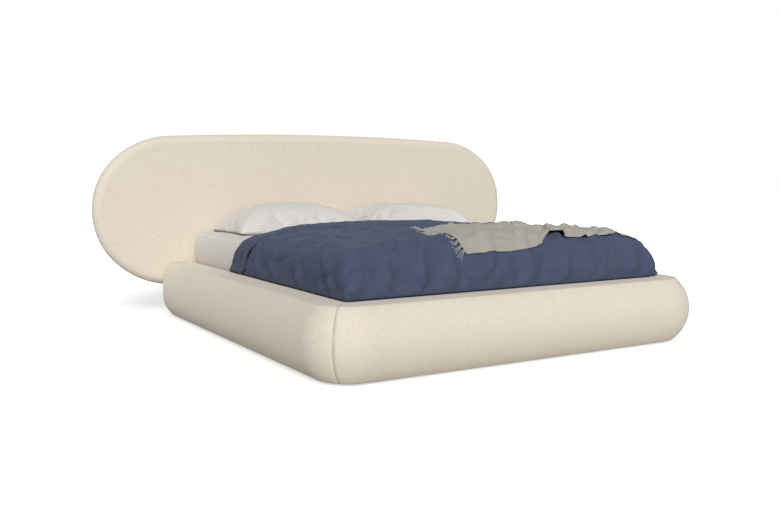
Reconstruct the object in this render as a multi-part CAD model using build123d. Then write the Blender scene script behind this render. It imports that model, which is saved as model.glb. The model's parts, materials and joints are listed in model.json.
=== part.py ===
from build123d import *
from math import atan2, cos, degrees, radians, sin, sqrt
import os

os.makedirs("parts", exist_ok=True)

# A double bed with padded rails all round and a wide, pill-shaped padded headboard.
# Millimetres. X is across the bed, +Y runs from the foot to the head, +Z is up.
# The origin is on the floor, under the middle of the whole bed.

# Mattress and its fitted sheet
mattress_width = 1800.0
mattress_length = 2000.0
mattress_height = 255.0
mattress_corner_radius = 42.0
mattress_top_radius = 36.0
mattress_bottom_radius = 15.0
sheet_thickness = 2.0
well_gap = 20.0
mattress_head_gap = 8.0
soft_clearance = 0.3

# Padded rails: a board with a bolster of foam outside it, all inside a fabric cover
rail_height = 338.0
rail_top_width = 135.0
rail_bulge = 71.0
rail_bulge_height_share = 0.537
rail_foot_inset = 24.0
rail_corner_radius = 160.0
rail_inner_edge_radius = 8.0
rail_outer_edge_radius = 14.0
rail_heel_radius = 28.0
rail_rear_radius = 58.0
fabric_thickness = 2.5
board_thickness = 24.0
board_top_padding = 14.0
glide_height = 8.0
glide_radius = 20.0
glide_chamfer = 1.5
side_glide_shares = [0.08, 0.5, 0.92]
foot_glide_shares = [-0.5, 0.5]
mitre_angle = 45.0

# Slatted base
slat_count = 12
slat_width = 95.0
slat_thickness = 20.0
slat_top = 265.0
slat_end_gap = 2.5
slat_edge_radius = 4.0
slat_lead = 18.0
ledger_width = 30.0
ledger_height = 40.0
staple_margin = 5.0
beam_width = 60.0
beam_height = 70.0
hanger_thickness = 2.5
hanger_length = 50.0
hanger_height = 55.0
tape_width = 25.0
tape_thickness = 1.2
tape_place_share = 0.5
centre_leg_count = 3
centre_leg_side = 45.0
centre_leg_floor_gap = 25.0
centre_leg_spread = 600.0
foot_disc_radius = 25.0
foot_disc_height = 9.0
foot_disc_rounding = 3.0
foot_stem_radius = 5.0
foot_stem_depth = 35.0
running_clearance = 0.05
crossboard_thickness = 24.0
crossboard_bottom = 60.0

# Headboard
headboard_width = 3014.0
headboard_height = 972.0
headboard_floor_gap = 172.0
headboard_thickness = 110.0
headboard_end_share = 0.905
headboard_shoulder_share = 1.09
headboard_end_angle = 50.0
headboard_edge_radius = 50.0
front_foam_depth = 60.0
panel_thickness = 18.0
panel_inset = 52.0
ring_width = 60.0
back_opening_inset = 80.0
upright_width = 90.0
crossrail_height = 90.0
headboard_leg_thickness = 33.0
headboard_leg_top_gap = 10.0

# Metal fittings
bracket_thickness = 4.0
corner_bracket_leg = 55.0
corner_bracket_height = 120.0
corner_bracket_bottom = 60.0
head_bracket_leg = 62.0
head_bracket_bottom = 266.0
head_bracket_height = 62.0
bolt_radius = 4.0
bolt_head_radius = 6.5
bolt_head_height = 5.0
bolt_end_inset = 8.0
screw_radius = 2.5
screw_head_radius = 5.0
screw_head_height = 3.0
screw_depth = 18.0
screw_rise_shares = [0.25, 0.75]
screw_out_share = 0.6
hole_clearance = 0.2
ledger_screw_count = 6

# Duvet: the cover and filling as one soft body, tucked inside the rails and swelling over them
duvet_rail_gap = 5.0
duvet_lip_gap = 1.0
duvet_tuck_radius = 25.0
duvet_left_swell = 8.0
duvet_right_swell = 45.0
duvet_foot_swell = 10.0
duvet_edge_rise = 40.0
duvet_crown_rise = 43.0
duvet_hem_height = 300.0
duvet_left_round_share = 0.5
duvet_right_round_share = 0.9
duvet_foot_round_share = 0.83
duvet_sheet_gap = 0.4
duvet_band_width = 130.0
duvet_band_drop = 18.0
duvet_fold_radius = 30.0
duvet_fold_proud = 8.0
duvet_fold_trim = 9.5
duvet_fold_length = 120.0
duvet_pillow_gap = 42.0
duvet_fold_shares = [-0.86, -0.66, -0.43, -0.17, 0.12, 0.38, 0.64, 0.83]

# Head edge of the duvet, across the bed and down from its longest line
duvet_head_across_shares = [-1.0, -0.975, -0.93, -0.76, -0.47, -0.2, 0.55, 1.0]
duvet_head_back_shares = [0.08, 0.12, 0.225, 0.14, 0.03, 0.005, 0.0, 0.04]

# Throw across the foot end, with its fringe
throw_thickness = 12.0
throw_left = -290.0
throw_near = 55.0
throw_depth = 460.0
throw_far_slant = 190.0
throw_rail_clearance = 6.0
throw_fold_radius = 26.0
throw_fold_proud = 9.0
throw_fold_trim = 10.5
throw_fold_start_shares = [0.12, 0.30, 0.55]
throw_fold_place_shares = [0.30, 0.62, 0.42]
throw_fold_length_shares = [0.34, 0.30, 0.28]
throw_fold_turns = [9.0, -6.0, 12.0]
tassel_count = 15
tassel_length = 62.0
tassel_width = 7.0
tassel_thickness = 6.0

# Pillows
pillow_width = 820.0
pillow_depth = 490.0
pillow_height = 175.0
pillow_pull = 26.0
pillow_slope_width = 232.0
pillow_head_gap = 8.0
pillow_left_centre = -378.0
pillow_right_centre = 472.0
pillow_height_shares = [0.0, 0.09, 0.32, 0.56, 0.80, 0.94, 1.0]
pillow_slope_shares = [0.06, 0.0, 0.05, 0.17, 0.40, 0.66, 0.92]

# How far a cutting shape runs past what it cuts
overrun = 10.0

# Main levels and lines that the sizes above give
inner_half_width = mattress_width / 2 + well_gap
well_length = mattress_length + 2 * well_gap
rail_width = rail_top_width + rail_bulge
overall_length = rail_width + well_length + headboard_thickness
foot_line = rail_width - overall_length / 2
head_line = foot_line + well_length
board_face = inner_half_width + fabric_thickness
board_bottom = glide_height + fabric_thickness
board_top = rail_height - fabric_thickness - board_top_padding
foot_board_face = foot_line - fabric_thickness
staple_height = slat_top + staple_margin
slat_bottom = slat_top - slat_thickness
beam_bottom = slat_bottom - beam_height
ledger_bottom = slat_bottom - ledger_height
crossboard_back = head_line - headboard_leg_thickness
crossboard_front = crossboard_back - crossboard_thickness
corner_x = inner_half_width + rail_top_width - rail_corner_radius
corner_y = foot_line + rail_corner_radius - rail_top_width
corner_offset = rail_corner_radius - rail_top_width
mattress_bottom = slat_top + soft_clearance
mattress_top = mattress_bottom + mattress_height
sheet_top = mattress_top + sheet_thickness
mattress_foot = head_line - mattress_head_gap - mattress_length
well_middle = foot_line + well_length / 2
headboard_middle_height = headboard_floor_gap + headboard_height / 2
headboard_end_radius = headboard_end_share * headboard_height / 2
headboard_shoulder_radius = headboard_shoulder_share * headboard_height / 2
headboard_back = head_line + headboard_thickness
panel_front = head_line + fabric_thickness + front_foam_depth
panel_back = panel_front + panel_thickness
batten_back = headboard_back - fabric_thickness


def save(node, shape):
    export_step(shape, "parts/" + node + ".step")


def block(x_low, x_high, y_low, y_high, z_low, z_high):
    middle = Pos((x_low + x_high) / 2, (y_low + y_high) / 2, (z_low + z_high) / 2)
    return middle * Box(x_high - x_low, y_high - y_low, z_high - z_low)


def rod(start, direction, radius, length):
    return extrude(Plane(origin=start, z_dir=direction) * Circle(radius), amount=length)


def mirrored(shape):
    return mirror(shape, about=Plane.YZ)


def circle_through(first, second, third):
    # Centre and radius of the circle through three points of a plane
    ax, ay = first
    bx, by = second
    cx, cy = third
    twice_area = 2 * (ax * (by - cy) + bx * (cy - ay) + cx * (ay - by))
    a_square = ax * ax + ay * ay
    b_square = bx * bx + by * by
    c_square = cx * cx + cy * cy
    x = (a_square * (by - cy) + b_square * (cy - ay) + c_square * (ay - by)) / twice_area
    y = (a_square * (cx - bx) + b_square * (ax - cx) + c_square * (bx - ax)) / twice_area
    return x, y, sqrt((ax - x) ** 2 + (ay - y) ** 2)


def round_at(sketch, point, radius):
    corner = sketch.vertices().sort_by_distance(Vector(point[0], point[1], 0))[0]
    return fillet(corner, radius=radius)


# Rails

def rail_section(inset):
    # The rail's D-shaped section: x is outwards from the corner's axis, y is up
    top_point = (rail_top_width, rail_height)
    bulge_point = (rail_width, rail_height * rail_bulge_height_share)
    foot_point = (rail_top_width - rail_foot_inset, 0)
    arc_out, arc_up, arc_radius = circle_through(top_point, bulge_point, foot_point)
    radius = arc_radius - inset
    low = glide_height + inset
    high = rail_height - inset
    inner = corner_offset + inset
    arc_middle = corner_offset + arc_out
    top_out = arc_middle + sqrt(radius ** 2 - (high - arc_up) ** 2)
    low_out = arc_middle + sqrt(radius ** 2 - (low - arc_up) ** 2)
    outline = Line((inner, low), (inner, high))
    outline += Line((inner, high), (top_out, high))
    outline += ThreePointArc((top_out, high), (arc_middle + radius, arc_up), (low_out, low))
    outline += Line((low_out, low), (inner, low))
    section = make_face(outline)
    section = round_at(section, (inner, high), rail_inner_edge_radius - inset)
    section = round_at(section, (top_out, high), rail_outer_edge_radius - inset)
    section = round_at(section, (low_out, low), rail_heel_radius - inset)
    return section


def side_run(inset):
    # The left rail's shape, from the mitre at the foot corner to the headboard
    plane = Plane(origin=(-corner_x, corner_y, 0), x_dir=(-1, 0, 0), z_dir=(0, 1, 0))
    section = plane * rail_section(inset)
    rear = head_line - inset
    straight = extrude(section, amount=rear - corner_y, dir=(0, 1, 0))
    corner_axis = Axis((-corner_x, corner_y, 0), (0, 0, 1))
    bend = revolve(section, axis=corner_axis, revolution_arc=mitre_angle)
    outside = inner_half_width + rail_width - inset
    plan = Pos(-outside / 2, rear - overall_length / 2, 0) * Rectangle(outside, overall_length)
    plan = round_at(plan, (-outside, rear), rail_rear_radius - inset)
    trim = extrude(plan, amount=rail_height + overrun)
    return (straight + bend) & trim


def foot_run(inset):
    # The foot rail's shape, between its two mitres
    plane = Plane(origin=(-corner_x, corner_y, 0), x_dir=(0, -1, 0), z_dir=(-1, 0, 0))
    section = plane * rail_section(inset)
    straight = extrude(section, amount=2 * corner_x, dir=(1, 0, 0))
    corner_axis = Axis((-corner_x, corner_y, 0), (0, 0, -1))
    bend = revolve(section, axis=corner_axis, revolution_arc=mitre_angle)
    return straight + bend + mirrored(bend)


# The inside of the rails stays bare below the staples, where ledgers and slats go
bare_inside = block(-board_face, board_face, foot_board_face, head_line, 0, staple_height)

board_left = block(-board_face - board_thickness, -board_face, foot_board_face - board_thickness,
                   head_line - fabric_thickness, board_bottom, board_top)
board_foot = block(-board_face, board_face, foot_board_face - board_thickness, foot_board_face,
                   board_bottom, board_top)
boards = board_left + board_foot + mirrored(board_left)

cover_left = side_run(0) - side_run(fabric_thickness) - bare_inside
cover_foot = foot_run(0) - foot_run(fabric_thickness) - bare_inside
foam_left = side_run(fabric_thickness) - boards - bare_inside
foam_foot = foot_run(fabric_thickness) - boards - bare_inside

# Glides under the boards
glide_blank = extrude(Circle(glide_radius), amount=glide_height)
glide = chamfer(glide_blank.edges().sort_by(Axis.Z)[0], length=glide_chamfer)
glide_x = board_face + board_thickness / 2
glide_y = foot_board_face - board_thickness / 2
glides = []
for share in side_glide_shares:
    for side in (-1, 1):
        glides.append(Pos(side * glide_x, foot_line + share * well_length, 0) * glide)
for share in foot_glide_shares:
    glides.append(Pos(share * inner_half_width, glide_y, 0) * glide)

# Slatted base: ledgers, centre beam, crossboard at the head, slats and tapes
ledger_left = block(-board_face, -board_face + ledger_width, foot_board_face, crossboard_front,
                    ledger_bottom, slat_bottom)
crossboard = block(-board_face, board_face, crossboard_front, crossboard_back,
                   crossboard_bottom, slat_bottom)
beam = block(-beam_width / 2, beam_width / 2, foot_board_face, crossboard_front,
             beam_bottom, slat_bottom)

hanger_half = beam_width / 2 + hanger_thickness
hanger_low = beam_bottom - hanger_thickness
hanger_top = hanger_low + hanger_height
hanger_foot = block(-hanger_half, hanger_half, foot_board_face, foot_board_face + hanger_length,
                    hanger_low, hanger_top) - beam
hanger_head = block(-hanger_half, hanger_half, crossboard_front - hanger_length, crossboard_front,
                    hanger_low, hanger_top) - beam

slat_half_length = board_face - slat_end_gap
slat_first = foot_line + slat_lead + slat_width / 2
slat_last = crossboard_front - slat_lead - slat_width / 2
slat_pitch = (slat_last - slat_first) / (slat_count - 1)
slat_blank = Box(2 * slat_half_length, slat_width, slat_thickness)
slat_blank = fillet(slat_blank.edges().filter_by(Axis.X), radius=slat_edge_radius)
slats = []
for index in range(slat_count):
    place = Pos(0, slat_first + index * slat_pitch, slat_bottom + slat_thickness / 2)
    slats.append(place * slat_blank)

tape_x = tape_place_share * board_face
tapes = []
for side in (-1, 1):
    tapes.append(block(side * tape_x - tape_width / 2, side * tape_x + tape_width / 2,
                       slat_first - slat_width / 2, slat_last + slat_width / 2,
                       slat_bottom - tape_thickness, slat_bottom))

# Centre legs, each with a threaded foot that screws out to meet the floor
leg_half = centre_leg_side / 2
leg_blank = block(-leg_half, leg_half, -leg_half, leg_half, centre_leg_floor_gap, beam_bottom)
stem_start = (0, 0, foot_disc_height)
stem_length = centre_leg_floor_gap - foot_disc_height + foot_stem_depth
stem_hole = rod((0, 0, centre_leg_floor_gap - overrun), (0, 0, 1),
                foot_stem_radius + running_clearance, foot_stem_depth + 2 * overrun)
centre_leg = leg_blank - stem_hole
disc_blank = extrude(Circle(foot_disc_radius), amount=foot_disc_height)
disc = fillet(disc_blank.edges().sort_by(Axis.Z)[-1], radius=foot_disc_rounding)
levelling_foot = disc + rod(stem_start, (0, 0, 1), foot_stem_radius, stem_length)
centre_leg_places = []
for index in range(centre_leg_count):
    centre_leg_places.append(well_middle + (index - (centre_leg_count - 1) / 2) * centre_leg_spread)


# Headboard

def pill(inset):
    # The headboard's outline: tight ends, shoulders and long shallow crowns, all tangent
    turn = radians(headboard_end_angle)
    radius_step = headboard_shoulder_radius - headboard_end_radius
    end_x = headboard_width / 2 - headboard_end_radius
    shoulder_x = end_x - radius_step * cos(turn)
    shoulder_z = -radius_step * sin(turn)
    rise = headboard_height / 2 - shoulder_z
    crown_radius = (shoulder_x ** 2 + rise ** 2 - headboard_shoulder_radius ** 2)
    crown_radius = crown_radius / (2 * (rise - headboard_shoulder_radius))
    crown_z = headboard_height / 2 - crown_radius
    crown_angle = degrees(atan2(shoulder_z - crown_z, shoulder_x))
    end_r = headboard_end_radius - inset
    shoulder_r = headboard_shoulder_radius - inset
    crown_r = crown_radius - inset
    start = headboard_end_angle
    shoulder_turn = crown_angle - start
    crown_turn = 180 - 2 * crown_angle
    outline = CenterArc((end_x, 0), end_r, -start, 2 * start)
    outline += CenterArc((shoulder_x, shoulder_z), shoulder_r, start, shoulder_turn)
    outline += CenterArc((0, crown_z), crown_r, crown_angle, crown_turn)
    outline += CenterArc((-shoulder_x, shoulder_z), shoulder_r, 180 - crown_angle, shoulder_turn)
    outline += CenterArc((-end_x, 0), end_r, 180 - start, 2 * start)
    outline += CenterArc((-shoulder_x, -shoulder_z), shoulder_r, 180 + start, shoulder_turn)
    outline += CenterArc((0, -crown_z), crown_r, 180 + crown_angle, crown_turn)
    outline += CenterArc((shoulder_x, -shoulder_z), shoulder_r, -crown_angle, shoulder_turn)
    return make_face(outline)


def pill_plate(inset, y_low, y_high):
    plane = Plane(origin=(0, y_low, headboard_middle_height), x_dir=(1, 0, 0), z_dir=(0, -1, 0))
    return extrude(plane * pill(inset), amount=y_high - y_low, dir=(0, 1, 0))


def pill_body(inset):
    plate = pill_plate(inset, head_line + inset, headboard_back - inset)
    rims = plate.edges().filter_by(lambda edge: abs(edge.bounding_box().size.Y) < soft_clearance)
    return fillet(rims, radius=headboard_edge_radius - inset)


panel = pill_plate(panel_inset, panel_front, panel_back)
ring_inside = pill_plate(panel_inset + ring_width, panel_back - overrun, headboard_back + overrun)
ring = pill_plate(panel_inset, panel_back, batten_back) - ring_inside
back_cloth = pill_plate(back_opening_inset, batten_back, headboard_back)
back_opening = pill_plate(back_opening_inset, batten_back, headboard_back + overrun)
frame_space = pill_plate(panel_inset, panel_front, headboard_back)
headboard_cover = pill_body(0) - pill_body(fabric_thickness) - back_opening
headboard_foam = pill_body(fabric_thickness) - frame_space

upright_middle = board_face - upright_width / 2
upright_low = headboard_floor_gap
upright_high = headboard_floor_gap + headboard_height
upright_left = block(-board_face, -board_face + upright_width, panel_back, batten_back,
                     upright_low, upright_high) & ring_inside
crossrail = block(-board_face + upright_width, board_face - upright_width, panel_back, batten_back,
                  headboard_middle_height - crossrail_height / 2,
                  headboard_middle_height + crossrail_height / 2)
headboard_leg_top = slat_top - headboard_leg_top_gap
headboard_leg_left = block(-board_face, -board_face + upright_width, crossboard_back, head_line,
                           0, headboard_leg_top)

# Brackets: one in each foot corner, and one at each rail's head end
corner_bracket_top = corner_bracket_bottom + corner_bracket_height
corner_bracket_left = block(-board_face, -board_face + corner_bracket_leg, foot_board_face,
                            foot_board_face + corner_bracket_leg,
                            corner_bracket_bottom, corner_bracket_top)
corner_bracket_left -= block(-board_face + bracket_thickness, 0,
                             foot_board_face + bracket_thickness, head_line,
                             0, corner_bracket_top + overrun)
head_bracket_top = head_bracket_bottom + head_bracket_height
head_bracket_left = block(-inner_half_width, -inner_half_width + head_bracket_leg,
                          head_line - head_bracket_leg, head_line,
                          head_bracket_bottom, head_bracket_top)
head_bracket_left -= block(-inner_half_width + bracket_thickness, 0,
                           0, head_line - bracket_thickness,
                           0, head_bracket_top + overrun)


def fastener(place, direction, shank_radius, shank_length, head_radius, head_height):
    # A shank from its seat along the direction, and a head on the other side of the seat
    back = (-direction[0], -direction[1], -direction[2])
    shank = rod(place, direction, shank_radius, shank_length)
    return shank + rod(place, back, head_radius, head_height)


# Headboard bolts: two through each head bracket, two through each headboard leg
bolt_column = -inner_half_width + head_bracket_leg / 2 + bracket_thickness
bolt_rise = head_bracket_height / 4
bolt_middle = head_bracket_bottom + head_bracket_height / 2
leg_bolt_height = slat_bottom - bolt_head_radius - hole_clearance
leg_bolt_spread = upright_width / 4
bolt_end = batten_back - bolt_end_inset
bolt_seats = []
for rise in (-bolt_rise, bolt_rise):
    bolt_seats.append((bolt_column, head_line - bracket_thickness, bolt_middle + rise))
for step in (0, leg_bolt_spread):
    bolt_seats.append((-upright_middle + step, crossboard_front, leg_bolt_height))
headboard_bolts = []
bolt_holes = []
for seat in bolt_seats:
    length = bolt_end - seat[1]
    bolt = fastener(seat, (0, 1, 0), bolt_radius, length, bolt_head_radius, bolt_head_height)
    hole = rod(seat, (0, 1, 0), bolt_radius + hole_clearance, length)
    headboard_bolts += [bolt, mirrored(bolt)]
    bolt_holes += [hole, mirrored(hole)]

# Screws of the corner brackets, through both of their legs
screw_out = corner_bracket_leg * screw_out_share
screw_seats = []
for rise_share in screw_rise_shares:
    rise = corner_bracket_bottom + rise_share * corner_bracket_height
    side_seat = (-board_face + bracket_thickness, foot_board_face + screw_out, rise)
    foot_seat = (-board_face + screw_out, foot_board_face + bracket_thickness, rise)
    screw_seats += [(side_seat, (-1, 0, 0)), (foot_seat, (0, -1, 0))]
corner_screws = []
screw_holes = []
for seat, direction in screw_seats:
    screw = fastener(seat, direction, screw_radius, screw_depth, screw_head_radius, screw_head_height)
    hole = rod(seat, direction, screw_radius + hole_clearance, screw_depth)
    corner_screws += [screw, mirrored(screw)]
    screw_holes += [hole, mirrored(hole)]

# Screws that hold the ledgers to the side boards
ledger_run = crossboard_front - foot_board_face
ledger_screws = []
ledger_holes = []
for index in range(ledger_screw_count):
    along = foot_board_face + ledger_run * (index + 0.5) / ledger_screw_count
    seat = (-board_face + ledger_width, along, slat_bottom - ledger_height / 2)
    depth = ledger_width + screw_depth
    screw = fastener(seat, (-1, 0, 0), screw_radius, depth, screw_head_radius, screw_head_height)
    hole = rod(seat, (-1, 0, 0), screw_radius + hole_clearance, depth)
    ledger_screws += [screw, mirrored(screw)]
    ledger_holes += [hole, mirrored(hole)]


def drilled(shape, holes):
    for hole in holes:
        shape = shape - hole
    return shape


left_bolt_holes = bolt_holes[0::2]
left_screw_holes = screw_holes[0::2]
left_ledger_holes = ledger_holes[0::2]
board_left = drilled(board_left, left_screw_holes + left_ledger_holes)
board_foot = drilled(board_foot, screw_holes)
ledger_left = drilled(ledger_left, left_ledger_holes)
corner_bracket_left = drilled(corner_bracket_left, left_screw_holes)
head_bracket_left = drilled(head_bracket_left, left_bolt_holes)
upright_left = drilled(upright_left, left_bolt_holes)
headboard_leg_left = drilled(headboard_leg_left, left_bolt_holes)
crossboard = drilled(crossboard, bolt_holes)
panel = drilled(panel, bolt_holes)
ring = drilled(ring, bolt_holes)
headboard_foam = drilled(headboard_foam, bolt_holes)
headboard_cover = drilled(headboard_cover, bolt_holes)


# Mattress and bedding

def mattress_block(grow, z_low):
    # The mattress's outside, grown on its sides and top
    half = mattress_width / 2 + grow
    shape = block(-half, half, mattress_foot - grow, mattress_foot + mattress_length + grow,
                  z_low, mattress_top + grow)
    shape = fillet(shape.edges().filter_by(Axis.Z), radius=mattress_corner_radius + grow)
    rim = shape.faces().sort_by(Axis.Z)[-1].edges()
    return fillet(rim, radius=mattress_top_radius + grow)


mattress = mattress_block(0, mattress_bottom)
mattress = fillet(mattress.faces().sort_by(Axis.Z)[0].edges(), radius=mattress_bottom_radius)
fitted_sheet = mattress_block(sheet_thickness, mattress_bottom) - mattress

duvet_half = inner_half_width - duvet_rail_gap
duvet_foot = foot_line + duvet_rail_gap
duvet_reach = head_line - pillow_head_gap - pillow_depth - duvet_pillow_gap
duvet_length = duvet_reach - foot_line
duvet_lip = rail_height + duvet_lip_gap
duvet_left = inner_half_width + duvet_left_swell
duvet_right = inner_half_width + duvet_right_swell
duvet_near = foot_line - duvet_foot_swell
duvet_edge_height = mattress_top + duvet_edge_rise
duvet_crown_height = duvet_edge_height + duvet_crown_rise
duvet_left_radius = duvet_left_round_share * (duvet_edge_height - duvet_lip)
duvet_right_radius = duvet_right_round_share * (duvet_edge_height - duvet_lip)
duvet_foot_radius = duvet_foot_round_share * (duvet_crown_height - duvet_lip)
duvet_ceiling = duvet_crown_height + duvet_foot_radius


def quarter(start, end, middle, radius):
    # A quarter circle about its middle, from its start to its end
    out = Vector(start[0] + end[0] - 2 * middle[0], start[1] + end[1] - 2 * middle[1]).normalized()
    return ThreePointArc(start, (middle[0] + radius * out.X, middle[1] + radius * out.Y), end)


def duvet_envelope(grow):
    # The duvet's outside above the rails: a crowned section across, and a long slope to the foot
    left = -duvet_left - grow
    right = duvet_right + grow
    near = duvet_near - grow
    edge = duvet_edge_height + grow
    crown = duvet_crown_height + grow
    left_radius = duvet_left_radius + grow
    right_radius = duvet_right_radius + grow
    foot_radius = duvet_foot_radius + grow
    left_top = (left + left_radius, edge)
    right_top = (right - right_radius, edge)
    left_middle = (left + left_radius, edge - left_radius)
    right_middle = (right - right_radius, edge - right_radius)
    across = Line((left, duvet_lip), (left, edge - left_radius))
    across += quarter((left, edge - left_radius), left_top, left_middle, left_radius)
    across += ThreePointArc(left_top, (0, crown), right_top)
    across += quarter(right_top, (right, edge - right_radius), right_middle, right_radius)
    across += Line((right, edge - right_radius), (right, duvet_lip))
    across += Line((right, duvet_lip), (left, duvet_lip))
    across_plane = Plane(origin=(0, near, 0), x_dir=(1, 0, 0), z_dir=(0, -1, 0))
    bar = extrude(across_plane * make_face(across), amount=well_length, dir=(0, 1, 0))
    foot_middle = (near + foot_radius, crown - foot_radius)
    along = Line((near, duvet_lip), (near, crown - foot_radius))
    along += quarter((near, crown - foot_radius), (near + foot_radius, crown), foot_middle, foot_radius)
    along += Line((near + foot_radius, crown), (near + well_length, crown))
    along += Line((near + well_length, crown), (near + well_length, duvet_lip))
    along += Line((near + well_length, duvet_lip), (near, duvet_lip))
    along_plane = Plane(origin=(left, 0, 0), x_dir=(0, 1, 0), z_dir=(1, 0, 0))
    return bar & extrude(along_plane * make_face(along), amount=right - left, dir=(1, 0, 0))


def head_edge(back):
    # Plan of the duvet up to its head edge, which is moved towards the foot by the given length
    side = duvet_half + overrun
    reach = duvet_right + duvet_fold_radius + overrun
    near = duvet_near - duvet_fold_radius - overrun
    edge_line = []
    for across, down in zip(duvet_head_across_shares, duvet_head_back_shares):
        edge_line.append((across * side, duvet_reach - down * duvet_length - back))
    points = [(reach, near), (-reach, near), (-reach, edge_line[0][1])]
    points += edge_line
    points.append((reach, edge_line[-1][1]))
    plan = make_face(Polyline(points, close=True))
    return extrude(plan, amount=duvet_ceiling)


def duvet_fold(x, grow):
    # A soft fold that runs up the foot drop and over the edge, trimmed where the top drops away
    depth = duvet_fold_radius - duvet_fold_proud
    radius = duvet_fold_radius + grow
    top = duvet_crown_height - depth
    bend = duvet_foot_radius - depth
    near = duvet_near + depth
    upright = rod((x, near, duvet_lip), (0, 0, 1), radius, top - bend - duvet_lip)
    along = rod((x, near + bend, top), (0, 1, 0), radius, duvet_fold_length)
    start = Plane(origin=(x, near, top - bend), z_dir=(0, 0, 1)) * Circle(radius)
    turn = revolve(start, axis=Axis((x, near + bend, top - bend), (-1, 0, 0)), revolution_arc=90)
    tip = Pos(x, near + bend + duvet_fold_length, top) * Sphere(radius)
    return (upright + turn + along + tip) & duvet_envelope(duvet_fold_trim + grow)


fold_places = [share * duvet_half for share in duvet_fold_shares]
cavity = mattress_block(sheet_thickness + duvet_sheet_gap, 0)
tuck = block(-duvet_half, duvet_half, duvet_foot, duvet_reach, duvet_hem_height, duvet_lip)
tuck = fillet(tuck.edges().filter_by(Axis.Z), radius=duvet_tuck_radius)
body_plan = head_edge(duvet_band_width)
band_plan = head_edge(0) - body_plan
low_envelope = Pos(0, 0, -duvet_band_drop) * duvet_envelope(0)
low_envelope -= block(-duvet_ceiling * 2, duvet_ceiling * 2, foot_line - duvet_ceiling, head_line, 0, duvet_lip)
duvet = (duvet_envelope(0) + tuck) & body_plan
duvet = duvet + ((low_envelope + tuck) & band_plan)
for x in fold_places:
    duvet = duvet + duvet_fold(x, 0)
duvet = duvet - cavity

# The throw follows the duvet's outside, from its fringed end to just above the far rail
throw_right = duvet_right + soft_clearance + throw_thickness + overrun
throw_low = rail_height + throw_rail_clearance
near_edge = foot_line + throw_near
far_edge = near_edge + throw_depth
throw_back = far_edge + throw_far_slant
throw_points = [(throw_left, near_edge), (throw_right, near_edge), (throw_right, throw_back),
                (throw_left + throw_depth, throw_back), (throw_left, far_edge)]
throw_plan = extrude(make_face(Polyline(throw_points, close=True)), amount=duvet_ceiling)
throw_plan -= block(throw_left - overrun, throw_right + overrun, foot_line, head_line, 0, throw_low)
under_throw = duvet_envelope(soft_clearance)
throw = duvet_envelope(soft_clearance + throw_thickness) & throw_plan
throw_run = duvet_half - throw_left
throw_folds = zip(throw_fold_start_shares, throw_fold_place_shares,
                  throw_fold_length_shares, throw_fold_turns)
throw_ridges = duvet_envelope(soft_clearance + throw_thickness + throw_fold_trim)
for start_share, place_share, length_share, turn in throw_folds:
    x = throw_left + start_share * throw_run
    y = near_edge + place_share * throw_depth
    z = duvet_crown_height + throw_thickness + throw_fold_proud - throw_fold_radius
    length = length_share * throw_run
    direction = (cos(radians(turn)), sin(radians(turn)), 0)
    end = (x + length * direction[0], y + length * direction[1], z)
    ridge = rod((x, y, z), direction, throw_fold_radius, length)
    ridge = ridge + Pos(x, y, z) * Sphere(throw_fold_radius) + Pos(end) * Sphere(throw_fold_radius)
    throw = throw + (ridge & throw_ridges)
throw = throw - under_throw
for x in fold_places:
    throw = throw - duvet_fold(x, soft_clearance)

tassel_pitch = (throw_depth - tassel_width) / (tassel_count - 1)
tassels = []
tassel_skin = duvet_envelope(soft_clearance + tassel_thickness) - under_throw
for x in fold_places:
    tassel_skin = tassel_skin - duvet_fold(x, soft_clearance)
for index in range(tassel_count):
    y = near_edge + index * tassel_pitch
    strip = block(throw_left - tassel_length, throw_left, y, y + tassel_width, throw_low, duvet_ceiling)
    tassels += (tassel_skin & strip).solids()


def pillow(centre):
    # A crowned pillow: flat where it lies, with sides that pull in between its corners
    low = sheet_top + soft_clearance
    middle_y = head_line - pillow_head_gap - pillow_depth / 2
    sections = []
    for height_share, slope_share in zip(pillow_height_shares, pillow_slope_shares):
        half_x = pillow_width / 2 - slope_share * pillow_slope_width
        half_y = pillow_depth / 2 - slope_share * pillow_slope_width
        pull = pillow_pull * (1 - slope_share)
        outline = ThreePointArc((-half_x, -half_y), (0, pull - half_y), (half_x, -half_y))
        outline += ThreePointArc((half_x, -half_y), (half_x - pull, 0), (half_x, half_y))
        outline += ThreePointArc((half_x, half_y), (0, half_y - pull), (-half_x, half_y))
        outline += ThreePointArc((-half_x, half_y), (pull - half_x, 0), (-half_x, -half_y))
        place = Pos(centre, middle_y, low + height_share * pillow_height)
        sections.append(place * make_face(outline))
    return loft(sections)


# The kept pieces, one file for each
save("rail_board_left", board_left)
save("rail_board_right", mirrored(board_left))
save("rail_board_foot", board_foot)
save("rail_foam_left", foam_left)
save("rail_foam_right", mirrored(foam_left))
save("rail_foam_foot", foam_foot)
save("rail_cover_left", cover_left)
save("rail_cover_right", mirrored(cover_left))
save("rail_cover_foot", cover_foot)
save("glides", Compound(children=glides))
save("ledger_left", ledger_left)
save("ledger_right", mirrored(ledger_left))
save("head_crossboard", crossboard)
save("centre_beam", beam)
save("beam_hanger_foot", hanger_foot)
save("beam_hanger_head", hanger_head)
for index, slat in enumerate(slats):
    save("slat_" + str(index + 1).zfill(2), slat)
save("slat_tapes", Compound(children=tapes))
for index, y in enumerate(centre_leg_places):
    save("centre_leg_" + str(index + 1), Pos(0, y, 0) * centre_leg)
    save("levelling_foot_" + str(index + 1), Pos(0, y, 0) * levelling_foot)
save("corner_bracket_left", corner_bracket_left)
save("corner_bracket_right", mirrored(corner_bracket_left))
save("head_bracket_left", head_bracket_left)
save("head_bracket_right", mirrored(head_bracket_left))
save("corner_screws", Compound(children=corner_screws))
save("ledger_screws", Compound(children=ledger_screws))
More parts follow.
